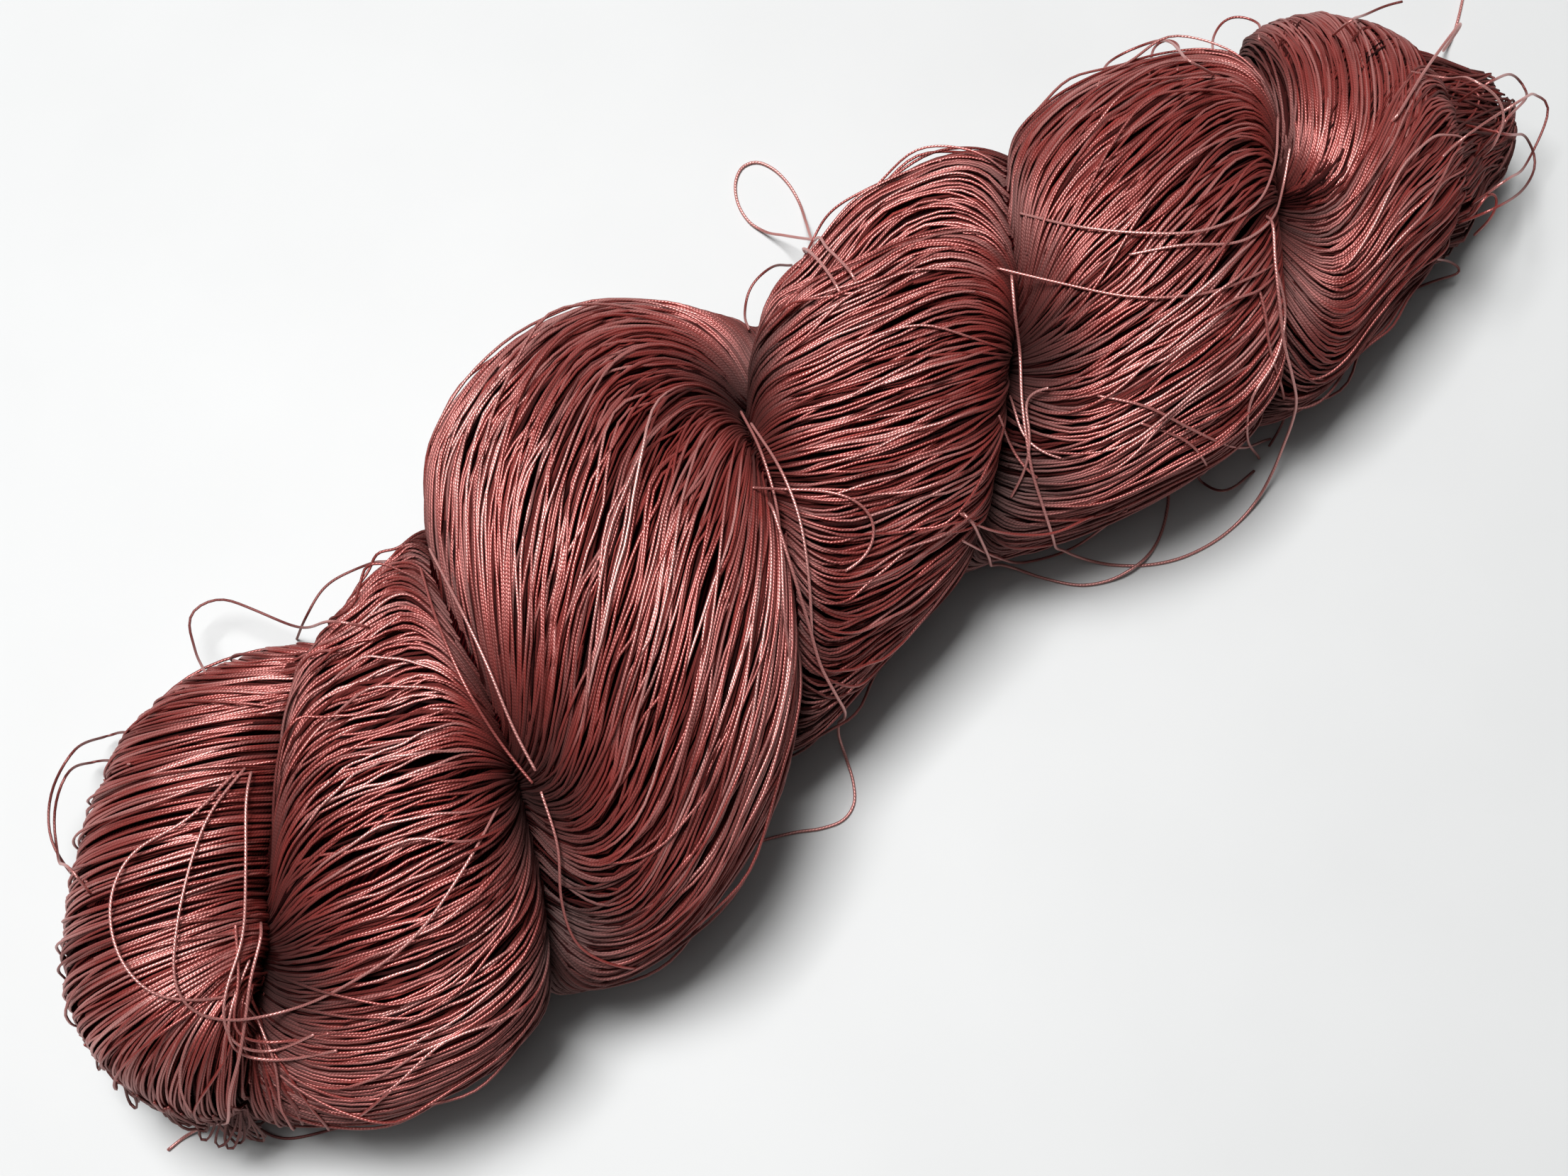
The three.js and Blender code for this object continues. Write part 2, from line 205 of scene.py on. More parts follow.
@dataclass
class HankForm:
    """The outer form of the wound and twisted hank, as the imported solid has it."""

    length: float = 254.0
    middle_y: float = -0.76
    side_share: float = 0.82
    roundness: float = 2.2
    unrolled: float = 0.46
    gather: float = 4.0
    outline: Array = field(default_factory=lambda: np.array(OUTLINE, float))
    grooves: dict = field(default_factory=lambda: {
        Ply.ONE: np.array(FIRST_GROOVE, float), Ply.TWO: np.array(SECOND_GROOVE, float)})
    pinches: dict = field(default_factory=lambda: {
        Ply.ONE: np.array(FIRST_PINCHES, float), Ply.TWO: np.array(SECOND_PINCHES, float)})
    flows: dict = field(default_factory=lambda: {
        Ply.ONE: np.array(FLOW_ONE, float), Ply.TWO: np.array(FLOW_TWO, float)})

    def section(self, x: Array) -> tuple[Array, Array, Array, Array]:
        """Gives the outline at x: its middle and half width across, then its middle and half height."""
        far, near, top, foot = (smooth(self.outline, column, x) for column in (1, 2, 3, 4))
        return (far + near) / 2, (far - near) / 2, (top + foot) / 2, (top - foot) / 2

    def groove_share(self, ply: Ply, turn: Array) -> Array:
        """Share of the outline left at a groove: the least of the dips that its pinches make.

        Args:
            ply: The ply on the groove's left.
            turn: Turn round the hank in degrees, in that groove's own count.

        Returns:
            The share at each turn.
        """
        at, share, reach = (self.pinches[ply][:, column] for column in (0, 1, 2))
        dips = self.side_share - (self.side_share - share) * bell(turn[..., None] - at, reach)
        return dips.min(axis=-1)

    def sides(self, ply: Ply, turn: Array) -> tuple[Array, Array, Array, Array]:
        """Finds the two grooves that a ply lies between.

        Args:
            ply: The ply.
            turn: Turn round the hank in degrees.

        Returns:
            x of its left and right grooves, and the share of the outline left in each.
        """
        left, shift = ply.left_groove
        left_turn = turn - shift
        return (
            smooth(self.grooves[left], 1, left_turn), smooth(self.grooves[ply], 1, turn),
            self.groove_share(left, left_turn), self.groove_share(ply, turn),
        )

    def lobe_share(self, ply: Ply, x: Array, turn: Array, edges: tuple[Array, Array, Array, Array]) -> Array:
        """Share of the outline that a ply fills: an arch between its grooves, less its furrow.

        Args:
            ply: The ply.
            x: Place along the hank.
            turn: Turn round the hank in degrees.
            edges: What sides gives for that ply and turn.

        Returns:
            The share at each place.
        """
        left, right, left_share, right_share = edges
        across = np.clip((x - left) / np.where(right > left, right - left, 1), 0, 1)
        arch = np.sqrt(1 - np.abs(2 * across - 1) ** self.roundness)
        floor = left_share + (right_share - left_share) * across
        share = floor + (1 - floor) * arch
        if ply is Ply.TWO:
            x0, turn0, x1, turn1, depth, width = FURROW
            along = np.array([x1 - x0, (turn1 - turn0) * self.unrolled])
            dx, dy = x - x0, (turn - turn0) * self.unrolled
            t = np.clip((dx * along[0] + dy * along[1]) / (along @ along), 0, 1)
            apart = np.hypot(dx - t * along[0], dy - t * along[1])
            share = share - depth * bell(apart, width) * arch
        return share

    def place(self, x: Array, turn: Array, share: Array, lift: Array | float = 0.0) -> Array:
        """Point at a turn: the outline's ellipse times the share, lifted and pressed flat at z = 0.

        Args:
            x: Distance from the blunt end.
            turn: Turn round the hank in degrees.
            share: Share of the outline.
            lift: Millimetres out from there.

        Returns:
            Points in the frame, in millimetres.
        """
        middle, half_width, height, half_height = self.section(x)
        sine, cosine = np.sin(np.radians(turn)), np.cos(np.radians(turn))
        radius = np.maximum(np.hypot(half_width * sine, half_height * cosine), 1.0)
        reach = share + lift / radius
        y = middle + half_width * reach * sine
        z = height + half_height * reach * cosine
        return np.stack([x - self.length / 2, y - self.middle_y, z], axis=-1)

    def share_at(self, x: Array, turn: Array) -> Array:
        """Share of the outline that is filled, whichever ply lies there.

        Args:
            x: Place along the hank.
            turn: Turn round the hank in degrees, in any count.

        Returns:
            The share at each place.
        """
        share = np.full(np.shape(x), self.side_share)
        base = (turn + 180.0) % 360.0 - 180.0
        for round_number in range(-1, 4):
            here = base + 360.0 * round_number
            for ply in Ply:
                edges = self.sides(ply, here)
                inside = (x >= edges[0]) & (x < edges[1])
                share = np.where(inside, self.lobe_share(ply, x, here, edges), share)
        return share

    def holds(self, points: Array) -> Array:
        """Tells which points lie inside the hank.

        Args:
            points: Points of the frame in millimetres.

        Returns:
            True for each point that is inside.
        """
        x = points[..., 0] + self.length / 2
        middle, half_width, height, half_height = self.section(x)
        across = (points[..., 1] + self.middle_y - middle) / np.maximum(half_width, 0.1)
        up = (points[..., 2] - height) / half_height
        share = self.share_at(x, np.degrees(np.arctan2(across, up)))
        within = (x > 0) & (x < self.length) & (points[..., 2] > 0)
        return within & (np.hypot(across, up) < share)

    def gathered(self, ply: Ply, turn: Array, shift: float, pull: Array) -> Array:
        """Turn at which a thread enters a groove: drawn to the nearest pinch, all the more where pull is low.

        Args:
            ply: The ply on the groove's left.
            turn: The thread's turn at mid lobe.
            shift: Degrees between that turn and the groove's own.
            pull: 1 for a thread that isn't drawn, towards 0 for one that goes into the pinch.

        Returns:
            The turn at the groove, in the thread's own count.
        """
        at = np.sort(self.pinches[ply][:, 0] + shift)
        halfway = (at[1:] + at[:-1]) / 2
        borders = np.concatenate([[2 * at[0] - halfway[0]], halfway, [2 * at[-1] - halfway[-1]]])
        nearest = np.searchsorted(halfway, turn)
        pinch = at[nearest]
        border = np.where(turn > pinch, borders[nearest + 1], borders[nearest])
        span = np.where(np.abs(border - pinch) > 1e-6, border - pinch, 1.0)
        v = np.abs((turn - pinch) / span)
        drawn = np.where(v < 1, pull * v + (1 - pull) * v ** 7, v)
        return pinch + span * drawn

    def thread_turn(self, ply: Ply, middle_turn: Array, across: Array) -> Array:
        """Turn of a thread from its left groove to its right one, slanted and gathered at both ends.

        Args:
            ply: The ply that the thread belongs to.
            middle_turn: Its turn half way across the lobe.
            across: 0 at the left groove to 1 at the right one.

        Returns:
            The turn at each place.
        """
        flow = self.flows[ply]
        slant, left_pull, right_pull = (smooth(flow, column, middle_turn) for column in (1, 2, 3))
        left, shift = ply.left_groove
        left_turn = self.gathered(left, middle_turn, shift, left_pull)
        right_turn = self.gathered(ply, middle_turn, 0.0, right_pull)
        inward = np.clip(1 - 2 * across, 0, 1)
        outward = np.clip(2 * across - 1, 0, 1)
        left_bend = 1 - np.sqrt(1 - inward ** self.gather)
        right_bend = 1 - np.sqrt(1 - outward ** self.gather)
        return (
            middle_turn + slant * (across - 0.5) + (left_turn - middle_turn + slant / 2) * left_bend
            + (right_turn - middle_turn - slant / 2) * right_bend
        )


def curve(knots: Array, fineness: int = 20) -> Array:
    """Runs a centripetal Catmull-Rom curve through points: its slopes come from the roots of the gaps.

    Args:
        knots: The points, in order.
        fineness: Points on the curve for each gap.

    Returns:
        Points on the curve.
    """
    knots = np.concatenate([[2 * knots[0] - knots[1]], knots, [2 * knots[-1] - knots[-2]]])
    gap = np.sqrt(np.linalg.norm(np.diff(knots, axis=0), axis=1))[:, None]
    before, here, there = gap[:-2], gap[1:-1], gap[2:]
    a, b, c, d = knots[:-3], knots[1:-2], knots[2:-1], knots[3:]
    leave = ((b - a) / before - (c - a) / (before + here) + (c - b) / here) * here
    arrive = ((c - b) / here - (d - b) / (here + there) + (d - c) / there) * here
    t = np.linspace(0, 1, fineness + 1)[:-1][None, :, None]
    cubic = (
        (2 * t ** 3 - 3 * t ** 2 + 1) * b[:, None] + (t ** 3 - 2 * t ** 2 + t) * leave[:, None]
        + (-2 * t ** 3 + 3 * t ** 2) * c[:, None] + (t ** 3 - t ** 2) * arrive[:, None]
    )
    return np.concatenate([cubic.reshape(-1, 3), knots[-2:-1]])


@dataclass
class Surface:
    """A mesh as whole arrays: points in millimetres, faces of four, faces of three, and what they carry."""

    points: Array
    quads: Array
    triangles: Array
    quad_uv: Array
    triangle_uv: Array
    shade: Array


def tube_faces(rings: int, sides: int) -> tuple[Array, Array]:
    """Faces of one closed tube, whose points come ring by ring and then the two tips.

    Args:
        rings: Rings of points along the tube.
        sides: Points on a ring.

    Returns:
        Faces of four between the rings and faces of three round the tips.
    """
    side = np.arange(sides)
    after = (side + 1) % sides
    row = np.arange(rings - 1)[:, None] * sides
    quads = np.stack([row + side, row + after, row + sides + after, row + sides + side], axis=-1)
    last, tip = (rings - 1) * sides, rings * sides
    first_cap = np.stack([np.full(sides, tip), after, side], axis=-1)
    last_cap = np.stack([np.full(sides, tip + 1), last + side, last + after], axis=-1)
    return quads.reshape(-1, 4), np.concatenate([first_cap, last_cap])


def tubes(paths: Array, radii: Array, shades: Array, sides: int) -> Surface:
    """Carries a round section along many paths at once and closes both ends with a blunt tip.

    A ring's points are path + radius * (cos a * normal + sin a * binormal), where the binormal is square to
    the path and to the path's own flattest direction, so a tube never spins about itself.

    Args:
        paths: Points in millimetres, paths by stations by three.
        radii: Radius of each path's tube.
        shades: A value from 0 to 1 at each station, which the material reads.
        sides: Faces round a tube.

    Returns:
        The tubes as one surface, with u round each and v the length along it in millimetres.
    """
    count, stations = paths.shape[:2]
    tangent = np.gradient(paths, axis=1)
    tangent /= np.maximum(np.linalg.norm(tangent, axis=2, keepdims=True), 1e-9)
    centred = paths - paths.mean(axis=1, keepdims=True)
    spread = np.einsum("psi,psj->pij", centred, centred)
    flattest = np.linalg.eigh(spread)[1][:, :, 0][:, None, :]
    normal = np.cross(tangent, np.broadcast_to(flattest, tangent.shape))
    normal /= np.maximum(np.linalg.norm(normal, axis=2, keepdims=True), 1e-9)
    binormal = np.cross(tangent, normal)
    angle = 2 * np.pi * np.arange(sides) / sides
    ring = (
        np.cos(angle)[None, None, :, None] * normal[:, :, None, :]
        + np.sin(angle)[None, None, :, None] * binormal[:, :, None, :]
    )
    body = paths[:, :, None, :] + radii[:, None, None, None] * ring
    outwards = tangent[:, [0, -1], :] * np.array([-0.5, 0.5])[None, :, None]
    tips = paths[:, [0, -1], :] + outwards * radii[:, None, None]
    per_tube = stations * sides + 2
    points = np.concatenate([body.reshape(count, -1, 3), tips], axis=1).reshape(-1, 3)
    quads, caps = tube_faces(stations, sides)
    base = (np.arange(count) * per_tube)[:, None, None]

    ring_shade = np.concatenate([np.repeat(shades, sides, axis=1), shades[:, [0, -1]]], axis=1)
    along = lengths_along(paths)
    side = np.arange(sides)
    u = np.stack([side, side + 1, side + 1, side], axis=-1) / sides
    v = np.stack([along[:, :-1], along[:, :-1], along[:, 1:], along[:, 1:]], axis=-1)
    quad_uv = np.empty((count, stations - 1, sides, 4, 2))
    quad_uv[..., 0] = u[None, None]
    quad_uv[..., 1] = v[:, :, None, :]
    cap_uv = np.zeros((count, 2 * sides, 3, 2))
    cap_uv[:, sides:, :, 1] = along[:, -1, None, None]
    return Surface(
        points, (base + quads[None]).reshape(-1, 4), (base + caps[None]).reshape(-1, 3),
        quad_uv.reshape(-1, 2), cap_uv.reshape(-1, 2), ring_shade.reshape(-1),
    )


def put(name: str, data: bpy.types.ID) -> bpy.types.Object:
    """Makes an object from its data and puts it in the scene.

    Args:
        name: The object's name.
        data: Its mesh, camera or light.

    Returns:
        The new object, at the origin.
    """
    thing = bpy.data.objects.new(name, data)
    bpy.context.scene.collection.objects.link(thing)
    return thing


def mesh_piece(name: str, surface: Surface, material: bpy.types.Material) -> bpy.types.Object:
    """Makes a smooth-shaded object from a surface, rides it on the body and gives it its material in a slot.

    Args:
        name: The piece's name.
        surface: Its points, faces, UVs and shades.
        material: Its finish.

    Returns:
        The new object, at the origin.
    """
    quads, triangles = len(surface.quads), len(surface.triangles)
    corners = np.concatenate([surface.quads.ravel(), surface.triangles.ravel()])
    sizes = np.concatenate([np.full(quads, 4), np.full(triangles, 3)])
    starts = np.concatenate([[0], np.cumsum(sizes)[:-1]])
    mesh = bpy.data.meshes.new(name)
    mesh.vertices.add(len(surface.points))
    mesh.vertices.foreach_set("co", (surface.points * METRE).astype(np.float32).ravel())
    mesh.loops.add(len(corners))
    mesh.loops.foreach_set("vertex_index", corners.astype(np.int32))
    mesh.polygons.add(len(sizes))
    mesh.polygons.foreach_set("loop_start", starts.astype(np.int32))
    mesh.polygons.foreach_set("loop_total", sizes.astype(np.int32))
    mesh.polygons.foreach_set("use_smooth", np.ones(len(sizes), bool))
    uv = mesh.uv_layers.new(name=THREAD_UV)
    uv.data.foreach_set("uv", np.concatenate([surface.quad_uv, surface.triangle_uv]).astype(np.float32).ravel())
    shade = mesh.attributes.new(SHADE, "FLOAT", "POINT")
    shade.data.foreach_set("value", surface.shade.astype(np.float32))
    mesh.update(calc_edges=True)
    mesh.validate()
    mesh.materials.append(material)
    piece = put(name, mesh)
    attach(piece, BODY)
    return piece


def linear(colour: str) -> tuple[float, float, float, float]:
    """Turns a colour into the light that it stands for.

    Args:
        colour: An sRGB hex colour.

    Returns:
        Linear red, green, blue and alpha.
    """
    value = np.array([int(colour[i:i + 2], 16) for i in (1, 3, 5)]) / 255
    light = np.where(value <= 0.04045, value / 12.92, ((value + 0.055) / 1.055) ** 2.4)
    return (*(float(channel) for channel in light), 1.0)


def add_node(tree: bpy.types.NodeTree, kind: str, inputs: dict | None = None, **settings) -> bpy.types.Node:
    """Adds a node with its settings, socket values and links.

    Args:
        tree: The node tree.
        kind: The node's type.
        inputs: Values by input name or number; a value that is an output socket is linked.
        **settings: Attributes of the node, set first.

    Returns:
        The new node.
    """
    node = tree.nodes.new(kind)
    for name, value in settings.items():
        setattr(node, name, value)
    for name, value in (inputs or {}).items():
        if isinstance(value, bpy.types.NodeSocket):
            tree.links.new(value, node.inputs[name])
        else:
            node.inputs[name].default_value = value
    return node


def maths(tree: bpy.types.NodeTree, operation: str, *values: object) -> bpy.types.NodeSocket:
    """Adds a step of arithmetic on sockets or numbers and gives its result."""
    return add_node(tree, "ShaderNodeMath", dict(enumerate(values)), operation=operation).outputs[0]


def mapped(tree: bpy.types.NodeTree, *values: object) -> bpy.types.NodeSocket:
    """Maps a socket from a low and a high value to two others and gives the result."""
    return add_node(tree, "ShaderNodeMapRange", dict(enumerate(values))).outputs[0]


def mixed(tree: bpy.types.NodeTree, share: object, first: object, second: object) -> bpy.types.NodeSocket:
    """Mixes two colours by a share and gives the result."""
    return add_node(tree, "ShaderNodeMix", {0: share, 6: first, 7: second}, data_type="RGBA").outputs[2]


def bare_material(name: str) -> tuple[bpy.types.Material, bpy.types.NodeTree]:
    """Makes a material whose node tree is still empty.

    Args:
        name: The material's name.

    Returns:
        The material and its tree.
    """
    material = bpy.data.materials.new(name)
    material.use_nodes = True
    material.node_tree.nodes.clear()
    return material, material.node_tree


def shade_with(tree: bpy.types.NodeTree, inputs: dict) -> None:
    """Ends a tree in a principled shader that has these inputs."""
    shader = add_node(tree, "ShaderNodeBsdfPrincipled", inputs)
    add_node(tree, "ShaderNodeOutputMaterial", {0: shader.outputs[0]})


@dataclass(frozen=True)
class PliedSilk:
    """Reeled silk, doubled and twisted: dusky red, with a bright pink shine on each of its two plies.

    The slanted furrow between the plies breaks the shine into short dashes, and painted shade darkens the
    colour in that furrow. Threads deep in the hank, whose shade value is low, are painted in shade, a dull
    blackish red.
    Its many fine filaments spread the shine round the thread and keep it narrow along it. A high index of
    refraction and a share of metal give the strength of the shine.
    """

    name: str = "reeled_silk_thread"
    deep: str = "#1e0304"
    body: str = "#9e423d"
    light: str = "#e2aca6"
    furrow_shade: str = "#3a0c0d"
    shine: str = "#ffe0da"
    body_at: float = 0.48
    light_at: float = 0.95
    twist_pitch: float = 1.0
    relief: float = 0.028
    relief_strength: float = 0.9
    furrow_shade_depth: float = 0.5
    furrow_shade_width: float = 0.6
    roughness: float = 0.35
    dull: float = 0.4
    dull_shades: tuple[float, float] = (0.1, 0.45)
    anisotropy: float = 0.5
    index: float = 1.8
    shine_level: float = 1.0
    metallic: float = 0.42

    def build(self) -> bpy.types.Material:
        """Makes the material from the thread's UVs, in which v is millimetres, and its shade.

        Returns:
            The material.
        """
        material, tree = bare_material(self.name)
        uv = add_node(tree, "ShaderNodeUVMap", uv_map=THREAD_UV)
        across, along = add_node(tree, "ShaderNodeSeparateXYZ", {0: uv.outputs[0]}).outputs[:2]
        turns = maths(tree, "ADD", across, maths(tree, "MULTIPLY", along, 1 / self.twist_pitch))
        ply = maths(tree, "ABSOLUTE", maths(tree, "SINE", maths(tree, "MULTIPLY", turns, 2 * np.pi)))
        # The shade attribute carries each thread's own tone and its painted shade; the ramp turns it into
        # colour, from the deep painted-shade red through body to light.
        shade = add_node(tree, "ShaderNodeAttribute", attribute_name=SHADE).outputs["Fac"]
        ramp = add_node(tree, "ShaderNodeValToRGB", {0: shade})
        stops = ramp.color_ramp.elements
        stops[0].color, stops[1].color = linear(self.deep), linear(self.light)
        stops[1].position = self.light_at
        stops.new(self.body_at).color = linear(self.body)
        # Painted shade: the colour darkens towards furrow_shade in the furrow between the two plies.
        furrow_shade = mapped(tree, ply, 0.0, self.furrow_shade_width, self.furrow_shade_depth, 0.0)
        bump = add_node(tree, "ShaderNodeBump", {
            "Strength": self.relief_strength, "Distance": self.relief * METRE, "Height": ply})
        round_it = add_node(tree, "ShaderNodeTangent", direction_type="UV_MAP", uv_map=THREAD_UV)
        shade_with(tree, {
            "Base Color": mixed(tree, furrow_shade, ramp.outputs[0], linear(self.furrow_shade)),
            "Roughness": mapped(tree, shade, *self.dull_shades, self.roughness + self.dull, self.roughness),
            "IOR": self.index, "Specular IOR Level": self.shine_level, "Specular Tint": linear(self.shine),
            "Metallic": self.metallic, "Anisotropic": self.anisotropy, "Tangent": round_it.outputs[0],
            "Normal": bump.outputs[0],
        })
        return material


@dataclass(frozen=True)
class PackedSilk:
    """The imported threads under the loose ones: the same silk in deep shade, nearly black red."""

    name: str = "packed_silk_heart"
    dark: str = "#0b0102"
    bright: str = "#2a0708"
    spacing: float = 0.62
    relief: float = 0.3
    relief_strength: float = 0.8
    roughness: float = 0.9

    def build(self) -> bpy.types.Material:
        """Makes the material, with lines of thread across its UVs, in which u is millimetres.

        Returns:
            The material.
        """
        material, tree = bare_material(self.name)
        uv = add_node(tree, "ShaderNodeUVMap", uv_map=THREAD_UV)
        across = add_node(tree, "ShaderNodeSeparateXYZ", {0: uv.outputs[0]}).outputs[0]
        wave = maths(tree, "SINE", maths(tree, "MULTIPLY", across, 2 * np.pi / self.spacing))
        height = mapped(tree, wave, -1.0, 1.0, 0.0, 1.0)
        bump = add_node(tree, "ShaderNodeBump", {
            "Strength": self.relief_strength, "Distance": self.relief * METRE, "Height": height})
        # Painted shade: the heart is coloured nearly black red with no shine, and the gaps between its lines
        # are darker than their ridges.
        shade_with(tree, {
            "Base Color": mixed(tree, height, linear(self.dark), linear(self.bright)),
            "Roughness": self.roughness, "Specular IOR Level": 0.0, "Normal": bump.outputs[0],
        })
        return material


@dataclass(frozen=True)
class WhiteTable:
    """White melamine table top: flat, nearly matt and very faintly mottled."""

    name: str = "white_melamine"
    colour: str = "#bfc0c0"
    mottle: str = "#b9baba"
    mottles_a_metre: float = 30.0
    detail: float = 4.0
    roughness: float = 0.55

    def build(self) -> bpy.types.Material:
        """Makes the material with a mottle some centimetres wide.

        Returns:
            The material.
        """
        material, tree = bare_material(self.name)
        place = add_node(tree, "ShaderNodeTexCoord").outputs["Object"]
        noise = add_node(
            tree, "ShaderNodeTexNoise", {"Vector": place, "Scale": self.mottles_a_metre, "Detail": self.detail})
        colour = mixed(tree, noise.outputs[0], linear(self.colour), linear(self.mottle))
        shade_with(tree, {"Base Color": colour, "Roughness": self.roughness})
        return material


@dataclass
class PhotoCamera:
    """The camera over the near side of the hank, which runs up to the right in the picture."""

    elevation: float = 74.0
    slant: float = 33.8
    distance: float = 330.0
    target: tuple[float, float, float] = (-12.6, -10.74, 24.0)
    focal_pixels: float = 2946.4
    frame_pixels: float = 2000.0
    off_centre: tuple[float, float] = (10.0, 7.0)
    sensor: float = 36.0
    nearest: float = 0.01

    def axes(self) -> tuple[Array, Array, Array]:
        """Finds the picture's own directions.

        Returns:
            Unit directions to the right, up the picture and into it.
        """
        elevation, slant = np.radians(self.elevation), np.radians(self.slant)
        ahead = np.array([np.tan(slant) / np.sin(elevation), 1.0, 0.0])
        ahead /= np.linalg.norm(ahead)
        right = np.array([ahead[1], -ahead[0], 0.0])
        above = np.sin(elevation) * ahead + np.cos(elevation) * np.array([0.0, 0.0, 1.0])
        return right, above, np.cross(above, right)

    def rays(self, across: Array, down: Array) -> tuple[Array, Array]:
        """Lines of sight through places of the picture.

        Args:
            across: Distance from its left edge, in the picture's own pixels.
            down: Distance from its top edge.

        Returns:
            The eye in millimetres and a direction for each place.
        """
        right, above, look = self.axes()
        middle_x = self.frame_pixels / 2 + self.off_centre[0]
        middle_y = self.frame_pixels * 3 / 8 + self.off_centre[1]
        ray = (
            look + ((across - middle_x) / self.focal_pixels)[:, None] * right
            + ((middle_y - down) / self.focal_pixels)[:, None] * above
        )
        return np.array(self.target) - self.distance * look, ray

    def build(self) -> bpy.types.Object:
        """Places the camera so that the target falls just off the middle of the picture.

        Returns:
            The camera object.
        """
        middle = np.array([self.frame_pixels / 2]), np.array([self.frame_pixels * 3 / 8])
        eye, ray = self.rays(*middle)
        aim = ray[0] / np.linalg.norm(ray[0])
        above = self.axes()[1]
        side = np.cross(aim, above)
        side /= np.linalg.norm(side)
        over = np.cross(side, aim)
        data = bpy.data.cameras.new("camera")
        data.sensor_width = self.sensor
        data.sensor_fit = "HORIZONTAL"
        data.lens = self.focal_pixels / self.frame_pixels * self.sensor
        data.clip_start = self.nearest
        camera = put("camera", data)
        turn = Matrix(np.stack([side, over, -aim], axis=1).tolist()).to_4x4()
        camera.matrix_world = Matrix.Translation(Vector(eye * METRE)) @ turn
        bpy.context.scene.camera = camera
        return camera


@dataclass
class Studio:
    """Daylight from over the far side of the hank and a pale room all round, over a white table."""

    table_size: float = 3.0
    window_place: tuple[float, float, float] = (-0.08, 0.28, 1.2)
    window_size: float = 0.45
    window_power: float = 23.0
    ceiling_place: tuple[float, float, float] = (-0.25, 0.2, 1.5)
    ceiling_size: float = 1.3
    ceiling_power: float = 5.0
    room: str = "#f4f5f6"
    room_strength: float = 0.05

    def build(self) -> None:
        """Adds the table, the window light and the room's own light."""
        half = self.table_size / 2
        mesh = bpy.data.meshes.new("table_top")
        edge = [(-half, -half, 0), (half, -half, 0), (half, half, 0), (-half, half, 0)]
        mesh.from_pydata(edge, [], [(0, 1, 2, 3)])
        mesh.materials.append(WhiteTable().build())
        put("table_top", mesh)
        self.light("window", self.window_place, self.window_size, self.window_power)
        self.light("ceiling", self.ceiling_place, self.ceiling_size, self.ceiling_power)
        world = bpy.data.worlds.new("room")
        world.use_nodes = True
        background = world.node_tree.nodes["Background"]
        background.inputs[0].default_value = linear(self.room)
        background.inputs[1].default_value = self.room_strength
        bpy.context.scene.world = world
        bpy.context.scene.view_settings.view_transform = "Standard"

    @staticmethod
    def light(name: str, place: tuple[float, float, float], size: float, power: float) -> None:
        """Adds a square light that points at the hank.

        Args:
            name: The light's name.
            place: Where it is, in metres.
            size: Its side in metres.
            power: Its power in watts.
        """
        data = bpy.data.lights.new(name, "AREA")
        data.size = size
        data.energy = power
        lamp = put(name, data)
        lamp.location = place
        lamp.rotation_euler = (-Vector(place)).to_track_quat("-Z", "Y").to_euler()


@dataclass
class LooseThread:
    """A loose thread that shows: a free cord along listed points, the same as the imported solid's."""

    name: str
    far_end: str
    route: tuple[tuple[float, float, float], ...]
    thickness: float = 0.46
    sides: int = 8
    step: float = 0.7
    shade: float = 0.68
    tuck: float = 2.0
    on_hank: float = 10.0
    axis_height: float = 20.0

    def tucked(self, end: Array, before: Array) -> Array:
        """Takes an end that lies up on the hank down between the turns.

        Args:
            end: The thread's end.
            before: The point before it.

        Returns:
            One more point past the end, or none for an end on the table.
        """
        if end[2] < self.on_hank:
            return np.empty((0, 3))
        back, down = end - before, np.array([end[0], 0.0, self.axis_height]) - end
        back, down = back / np.linalg.norm(back), down / np.linalg.norm(down)
        return (end + self.tuck * (down + 0.6 * back))[None]

    def path(self) -> Array:
        """Runs a curve through the route's points and into the silk at its ends.

        Returns:
            Points along it in even steps.
        """
        route = np.array(self.route, float)
        route = np.concatenate([self.tucked(route[0], route[1]), route, self.tucked(route[-1], route[-2])])
        dense = curve(route)
        along = lengths_along(dense[None])[0]
        even = np.linspace(0, along[-1], int(along[-1] / self.step) + 1)
        return np.stack([np.interp(even, along, dense[:, axis]) for axis in range(3)], axis=-1)

    def build(self, silk: bpy.types.Material) -> bpy.types.Object:
        """Args:
            silk: The thread's finish.

        Returns:
            The thread.
        """
        path = self.path()
        shade = np.full((1, len(path)), self.shade)
        surface = tubes(path[None], np.array([self.thickness / 2]), shade, self.sides)
        piece = mesh_piece(f"{self.name}_silk", surface, silk)
        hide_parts(self.name)
        return piece


